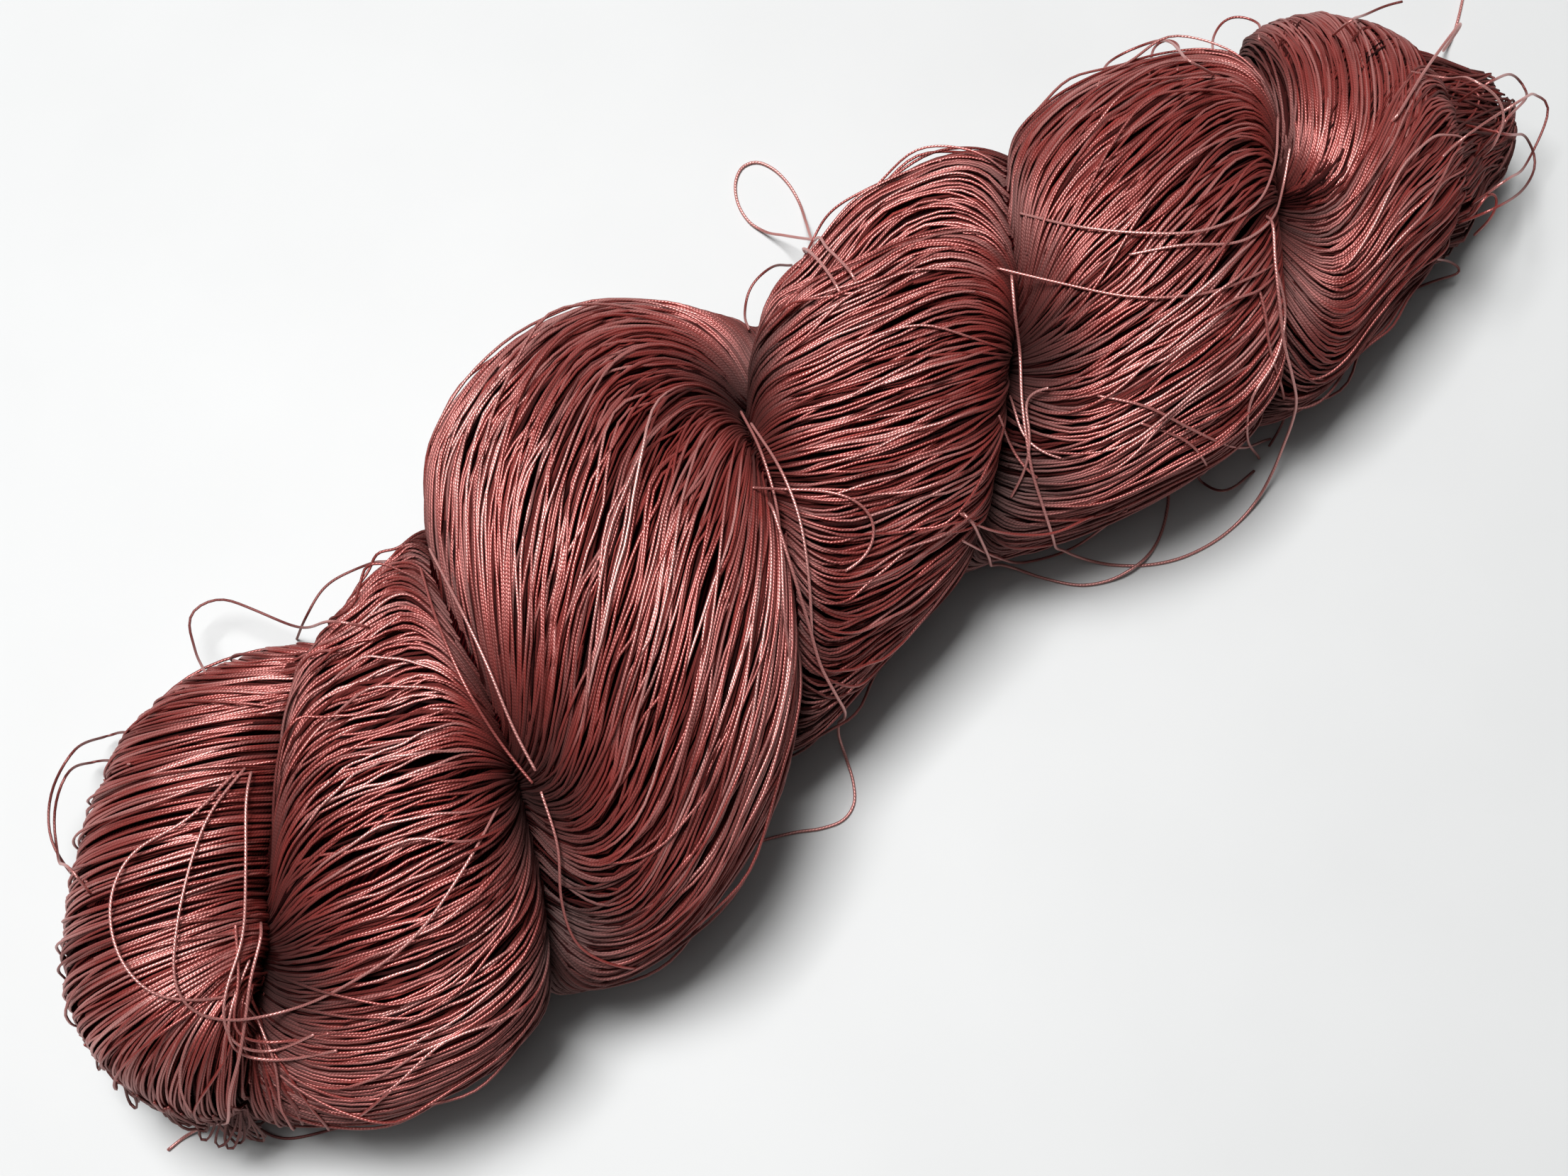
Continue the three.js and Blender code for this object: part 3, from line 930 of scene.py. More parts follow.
LOOSE_THREADS = (
    LooseThread("long_loose_thread", "object", (
        (35.9, 5.2, 43.3), (33.2, 0.6, 42.4), (31.8, -3.2, 37.6), (28.2, -8.7, 36.6), (25.7, -13.3, 35.5),
        (23.9, -17.5, 33.3), (23.2, -21.8, 29), (23.5, -24.8, 22.5), (24.8, -25.2, 15.5), (27.2, -25, 9),
        (29.6, -25.9, 4), (32, -27.6, 1.3), (34.6, -29.8, 0.4), (38.6, -32.6, 0.4), (43.5, -34.7, 0.4),
        (49.3, -35.6, 0.4), (54.4, -35.3, 0.6), (58.8, -34.2, 2), (62.1, -32.6, 5), (64.3, -30.9, 10.5),
        (65.1, -29.8, 17), (64.6, -28.8, 24.5), (63.5, -26.6, 32), (63.3, -23.2, 37.6), (65, -18.9, 41.1),
        (67.6, -13.9, 43.3), (70.4, -9.5, 43.9),
    )),
    LooseThread("near_loose_thread", "object", (
        (11.6, -19.3, 36.7), (12.7, -20.9, 30.5), (13.8, -22.3, 23.5), (15.2, -22, 16), (17.2, -21, 9.5),
        (19.4, -20.7, 4.5), (21.7, -21.9, 1.2), (24.2, -25, 0.4), (28.4, -29.4, 0.4), (32.5, -31.4, 0.7),
        (35.5, -32, 1.6), (38.5, -31.9, 1.6), (41.5, -31, 0.7), (44.3, -29.4, 0.4), (47.2, -26.9, 0.4),
        (49.7, -23.9, 0.4),
    )),
    LooseThread("middle_loose_thread", "object", (
        (-11.6, -4.8, 46.2), (-13.2, -10.1, 45.2), (-14.6, -15, 42.9), (-15.8, -19.5, 39), (-17, -23.9, 35),
        (-16.9, -27.4, 30), (-16.3, -29, 24), (-16, -28.7, 17), (-16.1, -27.8, 10.5), (-16.4, -28.6, 4.5),
        (-16.9, -31.2, 1.2), (-18, -34.6, 0.4), (-19.8, -37.3, 0.4), (-22.4, -38.4, 0.4), (-25.7, -37.7, 0.4),
        (-29.4, -35.9, 0.4), (-33.3, -34.4, 0.4), (-36.3, -33.5, 0.4),
    )),
    LooseThread("far_loose_loop", "object", (
        (14.2, 16.8, 45.7), (15.2, 21.1, 42.9), (16.5, 26.3, 37), (17.8, 29.9, 30.2), (19.5, 31.8, 23.5),
        (22.1, 33.9, 17), (24.6, 36.9, 11), (26.6, 40.6, 5.4), (28.5, 44.5, 1.5), (29.8, 48.2, 0.4),
        (30.2, 51.9, 0.4), (29.6, 55.6, 0.4), (28.1, 57.9, 0.4), (25.8, 58.4, 0.4), (23.4, 56.9, 0.4),
        (21.6, 53.7, 0.4), (21.2, 49.9, 0.4), (22.2, 46.5, 1.2), (23.4, 43.4, 4), (23.8, 40.1, 8.5),
        (23.4, 36.4, 15), (22.4, 33.5, 21), (21, 31.2, 27.5), (19.9, 28.6, 33.5), (18.4, 25, 38.6),
        (17.6, 21.2, 42.8), (17, 17.3, 45.6),
    )),
    LooseThread("left_thread_end", "bare", (
        (-98.8, -12.7, 37.9), (-102.8, -16.6, 37.5), (-106.2, -20.2, 35.9), (-109.9, -23.5, 33.1),
        (-113.6, -26, 30), (-116.6, -27.6, 23.5), (-118.4, -26.6, 16.5), (-120.4, -24.9, 10.5),
        (-122.7, -23.3, 5), (-125, -22.3, 1.5), (-127.3, -22, 0.4), (-129.8, -22.2, 0.4),
    )),
    LooseThread("right_thread_end", "bare", (
        (97.1, -5.6, 39.9), (102, -3.5, 37.9), (107.2, -1.2, 35.3), (113, 1.2, 31.2), (118.8, 3.4, 28.2),
        (123.8, 5.4, 23.6), (127, 6.7, 17.6), (128.2, 7.5, 11.5), (129.2, 8.3, 6), (131.9, 9.5, 2),
        (135.3, 11, 0.4), (138.1, 13, 0.4), (140.9, 15.3, 0.4), (143.1, 17.3, 0.4),
    )),
)


@dataclass
class Heart:
    """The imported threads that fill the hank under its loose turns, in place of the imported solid."""

    form: HankForm
    inset: float = 1.25
    tail_x: float = 236.0
    tail_share: float = 0.7
    last_x: float = 249.0
    rings: int = 180
    points_round: int = 100
    eased: int = 2

    def build(self, packed: bpy.types.Material) -> bpy.types.Object:
        """Makes the skin: rings along x, each an ellipse times the share that the lobes fill, drawn inwards.

        A share first falls to the least of its neighbours', so that no crease is bridged, and is then smoothed.

        Args:
            packed: The finish.

        Returns:
            The piece.
        """
        form = self.form
        t = np.linspace(0, 1, self.rings)
        x = self.last_x * (t - 0.9 * np.sin(2 * np.pi * t) / (2 * np.pi))
        x = np.clip(x, 0.6, self.last_x)[:, None]
        turn = 360 * np.arange(self.points_round)[None, :] / self.points_round + 0.9 * x
        into_tail = np.clip((x - self.tail_x) / 8, 0, 1)
        share = form.share_at(x + 0 * turn, turn) * (1 - (1 - self.tail_share) * into_tail)
        for _ in range(self.eased):
            share = np.minimum(np.minimum(np.roll(share, 1, axis=1), np.roll(share, -1, axis=1)), share)
            share[1:-1] = np.minimum(np.minimum(share[:-2], share[2:]), share[1:-1])
        for _ in range(self.eased):
            share = (np.roll(share, 1, axis=1) + 2 * share + np.roll(share, -1, axis=1)) / 4
            share[1:-1] = (share[:-2] + 2 * share[1:-1] + share[2:]) / 4
        points = form.place(x + 0 * turn, turn, share, -self.inset)
        points[..., 2] = np.maximum(points[..., 2], 0.25)
        count = self.points_round
        points = np.concatenate([points.reshape(-1, 3), points[[0, -1]].mean(axis=1)])
        quads, caps = tube_faces(self.rings, count)
        i = np.arange(count)
        girth = 360 * form.unrolled
        u = np.stack([i, i, i + 1, i + 1], axis=-1) / count * girth
        v = np.stack([x[:-1], x[1:], x[1:], x[:-1]], axis=-1)
        quad_uv = np.stack(np.broadcast_arrays(u[None], v), axis=-1).reshape(-1, 2)
        surface = Surface(
            points, quads[:, [0, 3, 2, 1]], caps[:, [0, 2, 1]], quad_uv,
            np.zeros((caps.size, 2)), np.zeros(len(points)),
        )
        piece = mesh_piece("packed_heart", surface, packed)
        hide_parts(SOLID)
        return piece


def evened(paths: Array) -> tuple[Array, Array]:
    """Spaces each path's points evenly along it.

    Args:
        paths: Paths by points by three.

    Returns:
        The same paths with even steps, and the length along them to each point.
    """
    along = lengths_along(paths)
    even = np.linspace(0, 1, paths.shape[1])[None, :] * along[:, -1:]
    spaced = [
        [np.interp(places, length, path[:, axis]) for axis in range(3)]
        for places, length, path in zip(even, along, paths)
    ]
    return np.array(spaced).transpose(0, 2, 1), even


@dataclass
class Laying:
    """A set of threads laid on the hank and made as one piece; each kind of laying has its own paths."""

    name: str
    form: HankForm
    seed: int
    thickness: float = 0.43
    sides: int = 5
    stations: int = 24
    spacing: float = 0.48
    level: float = -0.28
    heave: float = 0.36
    own_heave: float = 0.34
    hump: float = 0.6
    unevenness: float = 0.35
    bundle_widths: tuple[float, float] = (1.2, 3.6)
    patch_width: float = 9.0
    tone_and_shade: float = 0.5
    tone_spread: float = 0.1
    bundle_spread: float = 0.08
    dark_below: float = 10.0
    light_above: float = 40.0
    foot_light: float = 0.35
    clear_of_table: float = 0.02

    def paths(self) -> tuple[Array, Array]:
        """Lays the threads: points in millimetres and the shade at each point."""
        raise NotImplementedError

    def begin(self, count: int) -> tuple[np.random.Generator, Array, Array]:
        """Sets out what every laying starts from.

        Args:
            count: How many threads it has.

        Returns:
            Its own source of chance, its stations from 0 to 1 as a row and its threads' numbers as a column.
        """
        stations = np.linspace(0, 1, self.stations)[None, :]
        return np.random.default_rng(self.seed), stations, np.arange(count, dtype=float)[:, None]

    def side_by_side(self, rng: np.random.Generator, count: int) -> Array:
        """Places across the laying in millimetres, each a little out of step."""
        return (np.arange(count) + rng.uniform(-self.unevenness, self.unevenness, count)) * self.spacing

    def lifts(self, rng: np.random.Generator, bundles: "Bundles", along: Array) -> Array:
        """Heaves the bundles, which are highest in their middle, and each thread on its own.

        Args:
            rng: The source of the noise.
            bundles: The bundles that the threads lie in.
            along: Place along the threads from 0 to 1.

        Returns:
            Millimetres over the form's surface.
        """
        number, count = bundles.number, len(bundles.number)
        heaved = value_noise(rng, number, along, int(number.max()) + 2, 3)
        heaved = heaved + self.hump * bundles.hump - self.hump / 2
        own = value_noise(rng, np.arange(count, dtype=float)[:, None], along, count, 5)
        return self.level + self.heave * heaved + self.own_heave * own

    def shades(self, rng: np.random.Generator, bundles: "Bundles") -> Array:
        """Each thread's own shade about the laying's tone and painted shade, varied a little by bundle."""
        own = self.tone_spread * rng.standard_normal((len(bundles.number), 1))
        return self.tone_and_shade + own + self.bundle_spread * np.sin(bundles.number * 2.4)

    def build(self, silk: bpy.types.Material) -> bpy.types.Object:
        """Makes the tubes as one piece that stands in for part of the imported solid.

        Args:
            silk: The thread's finish.

        Returns:
            The piece.
        """
        paths, shade = self.paths()
        paths[..., 2] = np.maximum(paths[..., 2], self.thickness / 2 + self.clear_of_table)
        # Painted shade: each thread's colour darkens towards the table, down to foot_light of its shade below
        # dark_below.
        up = np.clip((paths[..., 2] - self.dark_below) / (self.light_above - self.dark_below), 0, 1)
        shade = shade * (self.foot_light + (1 - self.foot_light) * up * up * (3 - 2 * up))
        surface = tubes(paths, np.full(len(paths), self.thickness / 2), shade, self.sides)
        piece = mesh_piece(self.name, surface, silk)
        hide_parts(SOLID)
        faces = 2 * len(surface.quads) + len(surface.triangles)
        log.info("%s: %d threads, %.1f m, %d triangles", self.name, len(paths),
                 lengths_along(paths)[:, -1].sum() * METRE, faces)
        return piece


@dataclass
class Bundles:
    """Loose bundles of neighbouring threads across a laying, with a row of one value for each thread."""

    number: Array
    off_middle: Array
    hump: Array

    @classmethod
    def gather(cls, rng: np.random.Generator, across: Array, widths: tuple[float, float]) -> "Bundles":
        """Splits the threads into bundles of random width.

        Args:
            rng: The source of the widths.
            across: Each thread's place across the laying in millimetres.
            widths: The least and the greatest width.

        Returns:
            Each thread's bundle number, its distance from the bundle's middle and how high it sits on it.
        """
        edges = np.cumsum(rng.uniform(*widths, int(across.max() / widths[0]) + 16)) - 2 * widths[1]
        number = np.searchsorted(edges, across) - 1
        width = edges[number + 1] - edges[number]
        off_middle = across - edges[number] - width / 2
        hump = 1 - (2 * off_middle / width) ** 2
        return cls(number.astype(float)[:, None], off_middle[:, None], hump[:, None])


@dataclass
class LobeTurns(Laying):
    """The turns of thread on one lobe of a ply, laid side by side in loose bundles."""

    ply: Ply = Ply.ONE
    first_turn: float = 0.0
    last_turn: float = 360.0
    drift: float = 0.85
    sway: float = 0.35
    wander: float = 0.75
    draw: float = 0.04
    draw_spread: float = 0.2
    draw_limits: tuple[float, float] = (-0.1, 0.45)
    knots: int = 4
    bulge: float = 0.0
    bulge_reach: float = 0.14
    dive: float = 2.6
    crimp: float = 0.1
    crimp_lengths: tuple[float, float] = (6.0, 13.0)
    lobe_width: float = 45.0
    overrun: float = 0.045
    crowding: float = 0.09
    groove_reaches: tuple[float, float] = (6.5, 3.2)
    groove_shade: float = 0.68
    pinch_reaches: tuple[float, float] = (10.0, 9.0)
    pinch_shade: float = 0.92

    def paths(self) -> tuple[Array, Array]:
        """Lays even turns, then draws them into bundles, sets them adrift in waves and lifts them unevenly.

        Returns:
            The paths in millimetres and the shade at each point.
        """
        form, mm = self.form, self.form.unrolled
        count = int((self.last_turn - self.first_turn) * mm / self.spacing)
        rng, t, own = self.begin(count)
        across = self.side_by_side(rng, count)
        w = t - self.crowding * np.sin(2 * np.pi * t)
        bundles = Bundles.gather(rng, across, self.bundle_widths)
        number = bundles.number
        rows = int(number.max()) + 2
        drawn = np.clip(self.draw + self.draw_spread * value_noise(rng, number, w, rows, 4), *self.draw_limits)
        patch = across[:, None] / self.patch_width + 1
        waves = w * self.lobe_width / rng.uniform(*self.crimp_lengths, (count, 1))
        crimp = self.crimp * np.sin(2 * np.pi * (waves + rng.uniform(0, 1, (count, 1))))
        offset = (
            self.drift * value_noise(rng, patch, w, int(patch.max()) + 2, self.knots)
            + self.sway * value_noise(rng, number, w, rows, 4)
            + self.wander * value_noise(rng, own, w, count, self.knots) + crimp - drawn * bundles.off_middle
        )
        turn = form.thread_turn(self.ply, self.first_turn + (across[:, None] + offset) / mm, w)

        left, right, left_share, right_share = form.sides(self.ply, turn)
        beyond = rng.uniform(0.0, self.overrun, (count, 1)) * np.sign(t - 0.5) * (np.abs(2 * t - 1) > 0.999)
        x = left + (right - left) * (w + beyond)
        share = form.lobe_share(self.ply, x, turn, (left, right, left_share, right_share))
        lift = self.lifts(rng, bundles, w)
        crest = rng.uniform(0.2, 0.8, (count, 1))
        lift += self.bulge * rng.uniform(0, 1, (count, 1)) ** 2 * bell(w - crest, self.bulge_reach)
        lift -= self.dive * np.abs(2 * w - 1) ** 12
        paths = form.place(np.clip(x, 0.5, form.length - 0.5), turn, share, lift)
        # Painted shade: the colour darkens towards the grooves, and most at the pinches.
        return paths, np.clip(self.shades(rng, bundles) * self.light(turn, x, left, right), 0, 1)

    def light(self, turn: Array, x: Array, left: Array, right: Array) -> Array:
        """How much light reaches a thread: less towards the grooves, and least at the pinches.

        Args:
            turn: Turn of each point.
            x: Its place along the hank.
            left: x of the left groove there.
            right: x of the right groove there.

        Returns:
            A factor from 0 to 1.
        """
        form = self.form
        other, shift = self.ply.left_groove
        light = np.ones_like(turn)
        both_sides = (
            (other, x - left, turn - shift, self.groove_reaches[0]),
            (self.ply, right - x, turn, self.groove_reaches[1]),
        )
        for groove, gap, at, reach in both_sides:
            gap = np.maximum(gap, 0)
            near = bell(gap, reach)
            pinch = np.abs(at[..., None] - form.pinches[groove][:, 0]).min(axis=-1) * form.unrolled
            deep = bell(pinch, self.pinch_reaches[0]) * bell(gap, self.pinch_reaches[1])
            light = light * (1 - self.groove_shade * near) * (1 - self.pinch_shade * deep)
        return light


@dataclass
class BluntEnd(Laying):
    """The looped end: turns that fan out of the first groove, go over the rim and down to the table."""

    spacing: float = 0.47
    stations: int = 30
    pivot_inset: float = 15.0
    pivot_height: float = 18.0
    stray_turn: float = 1.5
    start_back: float = 1.5
    drift: float = 0.8
    wander: float = 0.7
    draw: float = 0.18
    draw_spread: float = 0.3
    draw_limits: tuple[float, float] = (-0.1, 0.55)
    farthest: float = 75.0
    last_angle: float = -1.15
    angle_spread: float = 0.06
    rise: float = 0.3
    rise_along: float = 50.0
    sunk: float = 2.0
    sunk_reach: float = 0.04
    groove_reach: float = 3.5
    groove_shade: float = 0.6

    def rim(self) -> Array:
        """Measures the fan's table along the rim.

        Returns:
            The table with the length along the rim as its first column.
        """
        fan = np.array(FAN, float)
        steps = np.linalg.norm(np.diff(fan[:, 1:], axis=0), axis=1)
        return np.concatenate([np.concatenate([[0], np.cumsum(steps)])[:, None], fan], axis=1)

    def planes(self, across: Array, stray: Array) -> tuple[Array, Array, Array]:
        """The upright planes that hold the threads.

        Args:
            across: Length along the rim for each thread.
            stray: Degrees by which each thread misses its place in the groove.

        Returns:
            Where each thread leaves the groove, its plane's pivot on the table, and its direction outwards.
        """
        form, table = self.form, self.rim()
        turn = smooth(table, 1, across) + stray
        start = form.place(
            smooth(form.grooves[Ply.ONE], 1, turn), turn, form.groove_share(Ply.ONE, turn))
        rim = np.stack([smooth(table, 2, across), smooth(table, 3, across)], axis=-1)
        out = rim - start[:, :2]
        out /= np.linalg.norm(out, axis=1, keepdims=True)
        return start, rim - self.pivot_inset * out, out

    def at(self, pivot: Array, out: Array, angle: Array, distance: Array, sway: Array) -> Array:
        """Finds points of the planes.

        Args:
            pivot: Each plane's pivot on the table.
            out: Its direction outwards.
            angle: Angle over the horizontal, in radians.
            distance: Distance from the pivot's axis.
            sway: Millimetres sideways out of the plane.

        Returns:
            Points in millimetres.
        """
        side = np.stack([-out[:, 1], out[:, 0]], axis=-1)[:, None, :]
        flat = pivot[:, None, :] + (distance * np.cos(angle))[..., None] * out[:, None, :]
        flat = flat + sway[..., None] * side
        return np.concatenate([flat, (self.pivot_height + distance * np.sin(angle))[..., None]], axis=-1)

    def skin(self, pivot: Array, out: Array, angle: Array, sway: Array) -> Array:
        """Finds by halving where the planes leave the hank.

        Args:
            pivot: Each plane's pivot on the table.
            out: Its direction outwards.
            angle: Angle over the horizontal, in radians.
            sway: Millimetres sideways out of the plane.

        Returns:
            Distances from the pivots.
        """
        low, high = np.zeros_like(angle), np.full_like(angle, self.farthest)
        for _ in range(20):
            middle = (low + high) / 2
            inside = self.form.holds(self.at(pivot, out, angle, middle, sway))
            low, high = np.where(inside, middle, low), np.where(inside, high, middle)
        return low

    def paths(self) -> tuple[Array, Array]:
        """Cuts the hank by an upright plane for each thread and follows the cut from the groove to the table.

        Returns:
            The paths in millimetres and the shade at each point.
        """
        count = int(self.rim()[-1, 0] / self.spacing)
        rng, t, own = self.begin(count)
        across = self.side_by_side(rng, count)
        bundles = Bundles.gather(rng, across, self.bundle_widths)
        start, pivot, out = self.planes(across, rng.normal(0, self.stray_turn, count))
        behind = np.einsum("pi,pi->p", start[:, :2] - pivot, out) - self.start_back
        first = np.arctan2(start[:, 2] - self.pivot_height, behind)[:, None]
        angle = first + (self.last_angle + self.angle_spread * rng.standard_normal((count, 1)) - first) * t
        number = bundles.number
        rows = int(number.max()) + 2
        drawn = self.draw + self.draw_spread * value_noise(rng, number, t, rows, 4)
        drawn = np.clip(drawn, *self.draw_limits) * t
        patch = across[:, None] / self.patch_width + 1
        sway = (
            self.drift * value_noise(rng, patch, t, int(patch.max()) + 2, 4)
            + self.wander * value_noise(rng, own, t, count, 4)
        ) - drawn * bundles.off_middle
        lift = self.lifts(rng, bundles, t) - self.sunk * bell(t, self.sunk_reach)
        near = np.hypot(behind, start[:, 2] - self.pivot_height)[:, None] + self.rise + self.rise_along * t
        distance = np.minimum(self.skin(pivot, out, angle, sway), near)
        paths = self.at(pivot, out, angle, distance + lift, sway)
        paths, from_groove = evened(paths)
        # Painted shade: the colour darkens where the threads come out of the groove.
        light = 1 - self.groove_shade * bell(from_groove, self.groove_reach)
        return paths, np.clip(self.shades(rng, bundles) * light, 0, 1)


@dataclass
class FootLoops(BluntEnd):
    """Small hairpins of thread that stand out of the rim of the blunt end, near the table."""

    count: int = 120
    first: float = 13.0
    last: float = 84.0
    big_until: float = 42.0
    big_lengths: tuple[float, float] = (1.2, 5.6)
    small_lengths: tuple[float, float] = (0.5, 2.6)
    half_widths: tuple[float, float] = (0.4, 1.5)
    high_angles: tuple[float, float] = (0.1, 0.6)
    low_angles: tuple[float, float] = (-1.0, -0.3)
    lean: float = 1.6
    tones: tuple[float, float] = (0.25, 0.55)

    def paths(self) -> tuple[Array, Array]:
        """Lays teardrops: out by the sine of t, aside by the sine of 2t, and down over the rim and back.

        Returns:
            The paths in millimetres and the shade at each point.
        """
        rng, t, _ = self.begin(self.count)
        across = np.sort(self.first + (self.last - self.first) * rng.uniform(0, 1, self.count) ** 1.35)
        _, pivot, out = self.planes(across, np.zeros(self.count))
        big = (across < self.big_until)[:, None]
        high = rng.uniform(*self.high_angles, (self.count, 1))
        low = rng.uniform(*self.low_angles, (self.count, 1))
        angle = high + (low - high) * np.sin(np.pi * t) ** 0.8
        half = rng.uniform(*self.half_widths, (self.count, 1)) * np.sign(rng.uniform(-1, 1, (self.count, 1)))
        lean = rng.normal(0, self.lean, (self.count, 1))
        sway = half * np.sin(2 * np.pi * t) + lean * np.sin(np.pi * t) ** 2
        long = rng.uniform(*self.big_lengths, (self.count, 1))
        short = rng.uniform(*self.small_lengths, (self.count, 1))
        out_by = np.where(big, long, short)
        lift = 0.1 + out_by * np.sin(np.pi * t) ** 2.5
        paths = self.at(pivot, out, angle, self.skin(pivot, out, angle, sway) + lift, sway)
        return evened(paths)[0], np.broadcast_to(rng.uniform(*self.tones, (self.count, 1)), paths.shape[:2])


@dataclass
class EndArcs(Laying):
    """Arcs on the last lobe, which come over from its far side, swing round and go into its pinch."""

    count: int = 96
    stations: int = 34
    level: float = -0.22
    heave: float = 0.45
    own_heave: float = 0.25
    loose_turns: tuple[float, float] = (2.2, 2.4)
    strays: tuple[float, float] = (0.9, 1.2)
    crowding: float = 0.06
    far_turn: float = 862.0
    near_turns: tuple[float, float] = (712.0, 674.0)
    reach: tuple[float, float] = (-0.07, 0.98)
    sunk: float = 3.0
    groove_reach: float = 4.0
    groove_shade: float = 0.7

    def paths(self) -> tuple[Array, Array]:
        """Lays arcs side by side: the turn falls evenly while x keeps its share of the lobe, then drops to 0.

        Returns:
            The paths in millimetres and the shade at each point.
        """
        form = self.form
        rng, t, own = self.begin(self.count)
        w = np.clip(t - self.crowding * np.sin(2 * np.pi * t), 0, 1)
        s = ((np.arange(self.count) + rng.uniform(0.1, 0.9, self.count)) / self.count)[:, None]
        last = self.near_turns[0] + (self.near_turns[1] - self.near_turns[0]) * s
        loose = self.loose_turns[0] * value_noise(rng, own, t, self.count, 4)
        loose += self.loose_turns[1] * value_noise(rng, own / 6, t, self.count, 3)
        turn = self.far_turn + (last - self.far_turn) * w + loose * (1 - t ** 6)
        left, right = form.sides(Ply.TWO, turn)[:2]
        share_out = self.reach[0] + (self.reach[1] - self.reach[0]) * s ** 0.85
        beyond = (right - left) * share_out * (1 - w ** (2.0 + 3.5 * s)) ** 0.6
        stray = self.strays[0] * value_noise(rng, own / 5, t, self.count, 3)
        stray += self.strays[1] * value_noise(rng, own, t, self.count, 4)
        beyond = beyond + stray * (1 - t ** 8)
        x = np.clip(left + beyond, left - 2.5, right)
        share = form.lobe_share(Ply.TWO, x, turn, form.sides(Ply.TWO, turn))
        lift = (
            self.level + self.heave * value_noise(rng, own / 4, t, self.count, 3)
            + self.own_heave * value_noise(rng, own, t, self.count, 5) - self.sunk * np.abs(2 * w - 1) ** 14
        )
        shade = self.tone_and_shade + self.tone_spread * rng.standard_normal((self.count, 1))
        # Painted shade: the colour darkens where the arcs go down into the crease.
        light = 1 - self.groove_shade * bell(beyond, self.groove_reach)
        return form.place(x, turn, share, lift), np.clip(shade * light, 0, 1)


@dataclass
class TailLoops(Laying):
    """The tuck at the narrow end: short loops of thread that stand out from under the last lobe."""

    count: int = 230
    stations: int = 22
    base_x: float = 226.0
    tips: tuple[float, float] = (244.0, 253.0)
    slimness: float = 0.74
    slim_over: float = 14.0
    half_turns: tuple[float, float] = (3.0, 20.0)
    stagger: float = 5.0
    sunk: float = 3.0
    sunk_reach: float = 2.5
    splay: float = 14.0
    sway_turns: float = 4.0
    deepest: float = 0.75
    share_inward: float = 0.6
    heave: float = 0.5
    own_heave: float = 0.4
    level: float = 0.15
    # Painted shade: the tuck under the last lobe takes a darker tone_and_shade.
    tone_and_shade: float = 0.34
    tone_spread: float = 0.12

    def paths(self) -> tuple[Array, Array]:
        """Lays hairpins along the tail: out from the base to a tip, in towards the axis there, and back.

        On the near side the base is in the last groove where that lies farther back, so that no gap is left.

        Returns:
            The paths in millimetres and the shade at each point.
        """
        form, count = self.form, self.count
        rng, t, own = self.begin(count)
        tip = rng.uniform(*self.tips, (count, 1))
        half = rng.uniform(*self.half_turns, (count, 1))
        middle = rng.uniform(0, 360, (count, 1))
        groove = smooth(form.grooves[Ply.TWO], 1, middle + 360)
        base = np.where(middle > 180, np.minimum(self.base_x, groove), self.base_x)
        base = base - 0.5 - rng.uniform(0, self.stagger, (count, 1)) * (middle < 180)
        x = base + (tip - base) * np.sin(np.pi * t) ** 0.55
        turn = (
            middle - half * np.cos(np.pi * t) + rng.normal(0, self.splay, (count, 1)) * np.sin(np.pi * t) ** 2
            + self.sway_turns * value_noise(rng, own, t, count, 4)
        )
        inward = rng.uniform(0, self.deepest, (count, 1)) * (rng.uniform(0, 1, (count, 1)) < self.share_inward)
        lift = (
            self.level + rng.uniform(-self.heave, self.heave, (count, 1))
            + self.own_heave * value_noise(rng, own, t, count, 4)
        )
        lift = lift - self.sunk * bell(x - base, self.sunk_reach)
        share = 1 - (1 - self.slimness) * np.clip((x - self.base_x) / self.slim_over, 0, 1)
        share = np.minimum(share, form.share_at(x, turn)) * (1 - inward * np.sin(np.pi * t) ** 5)
        points = form.place(np.minimum(x, form.length - 0.3), turn, share, lift)
        points[..., 0] = x + 0.6 * inward * np.sin(np.pi * t) ** 5 - form.length / 2
        shade = self.tone_and_shade + self.tone_spread * rng.standard_normal((count, 1)) + 0 * t
        return points, np.clip(shade, 0, 1)


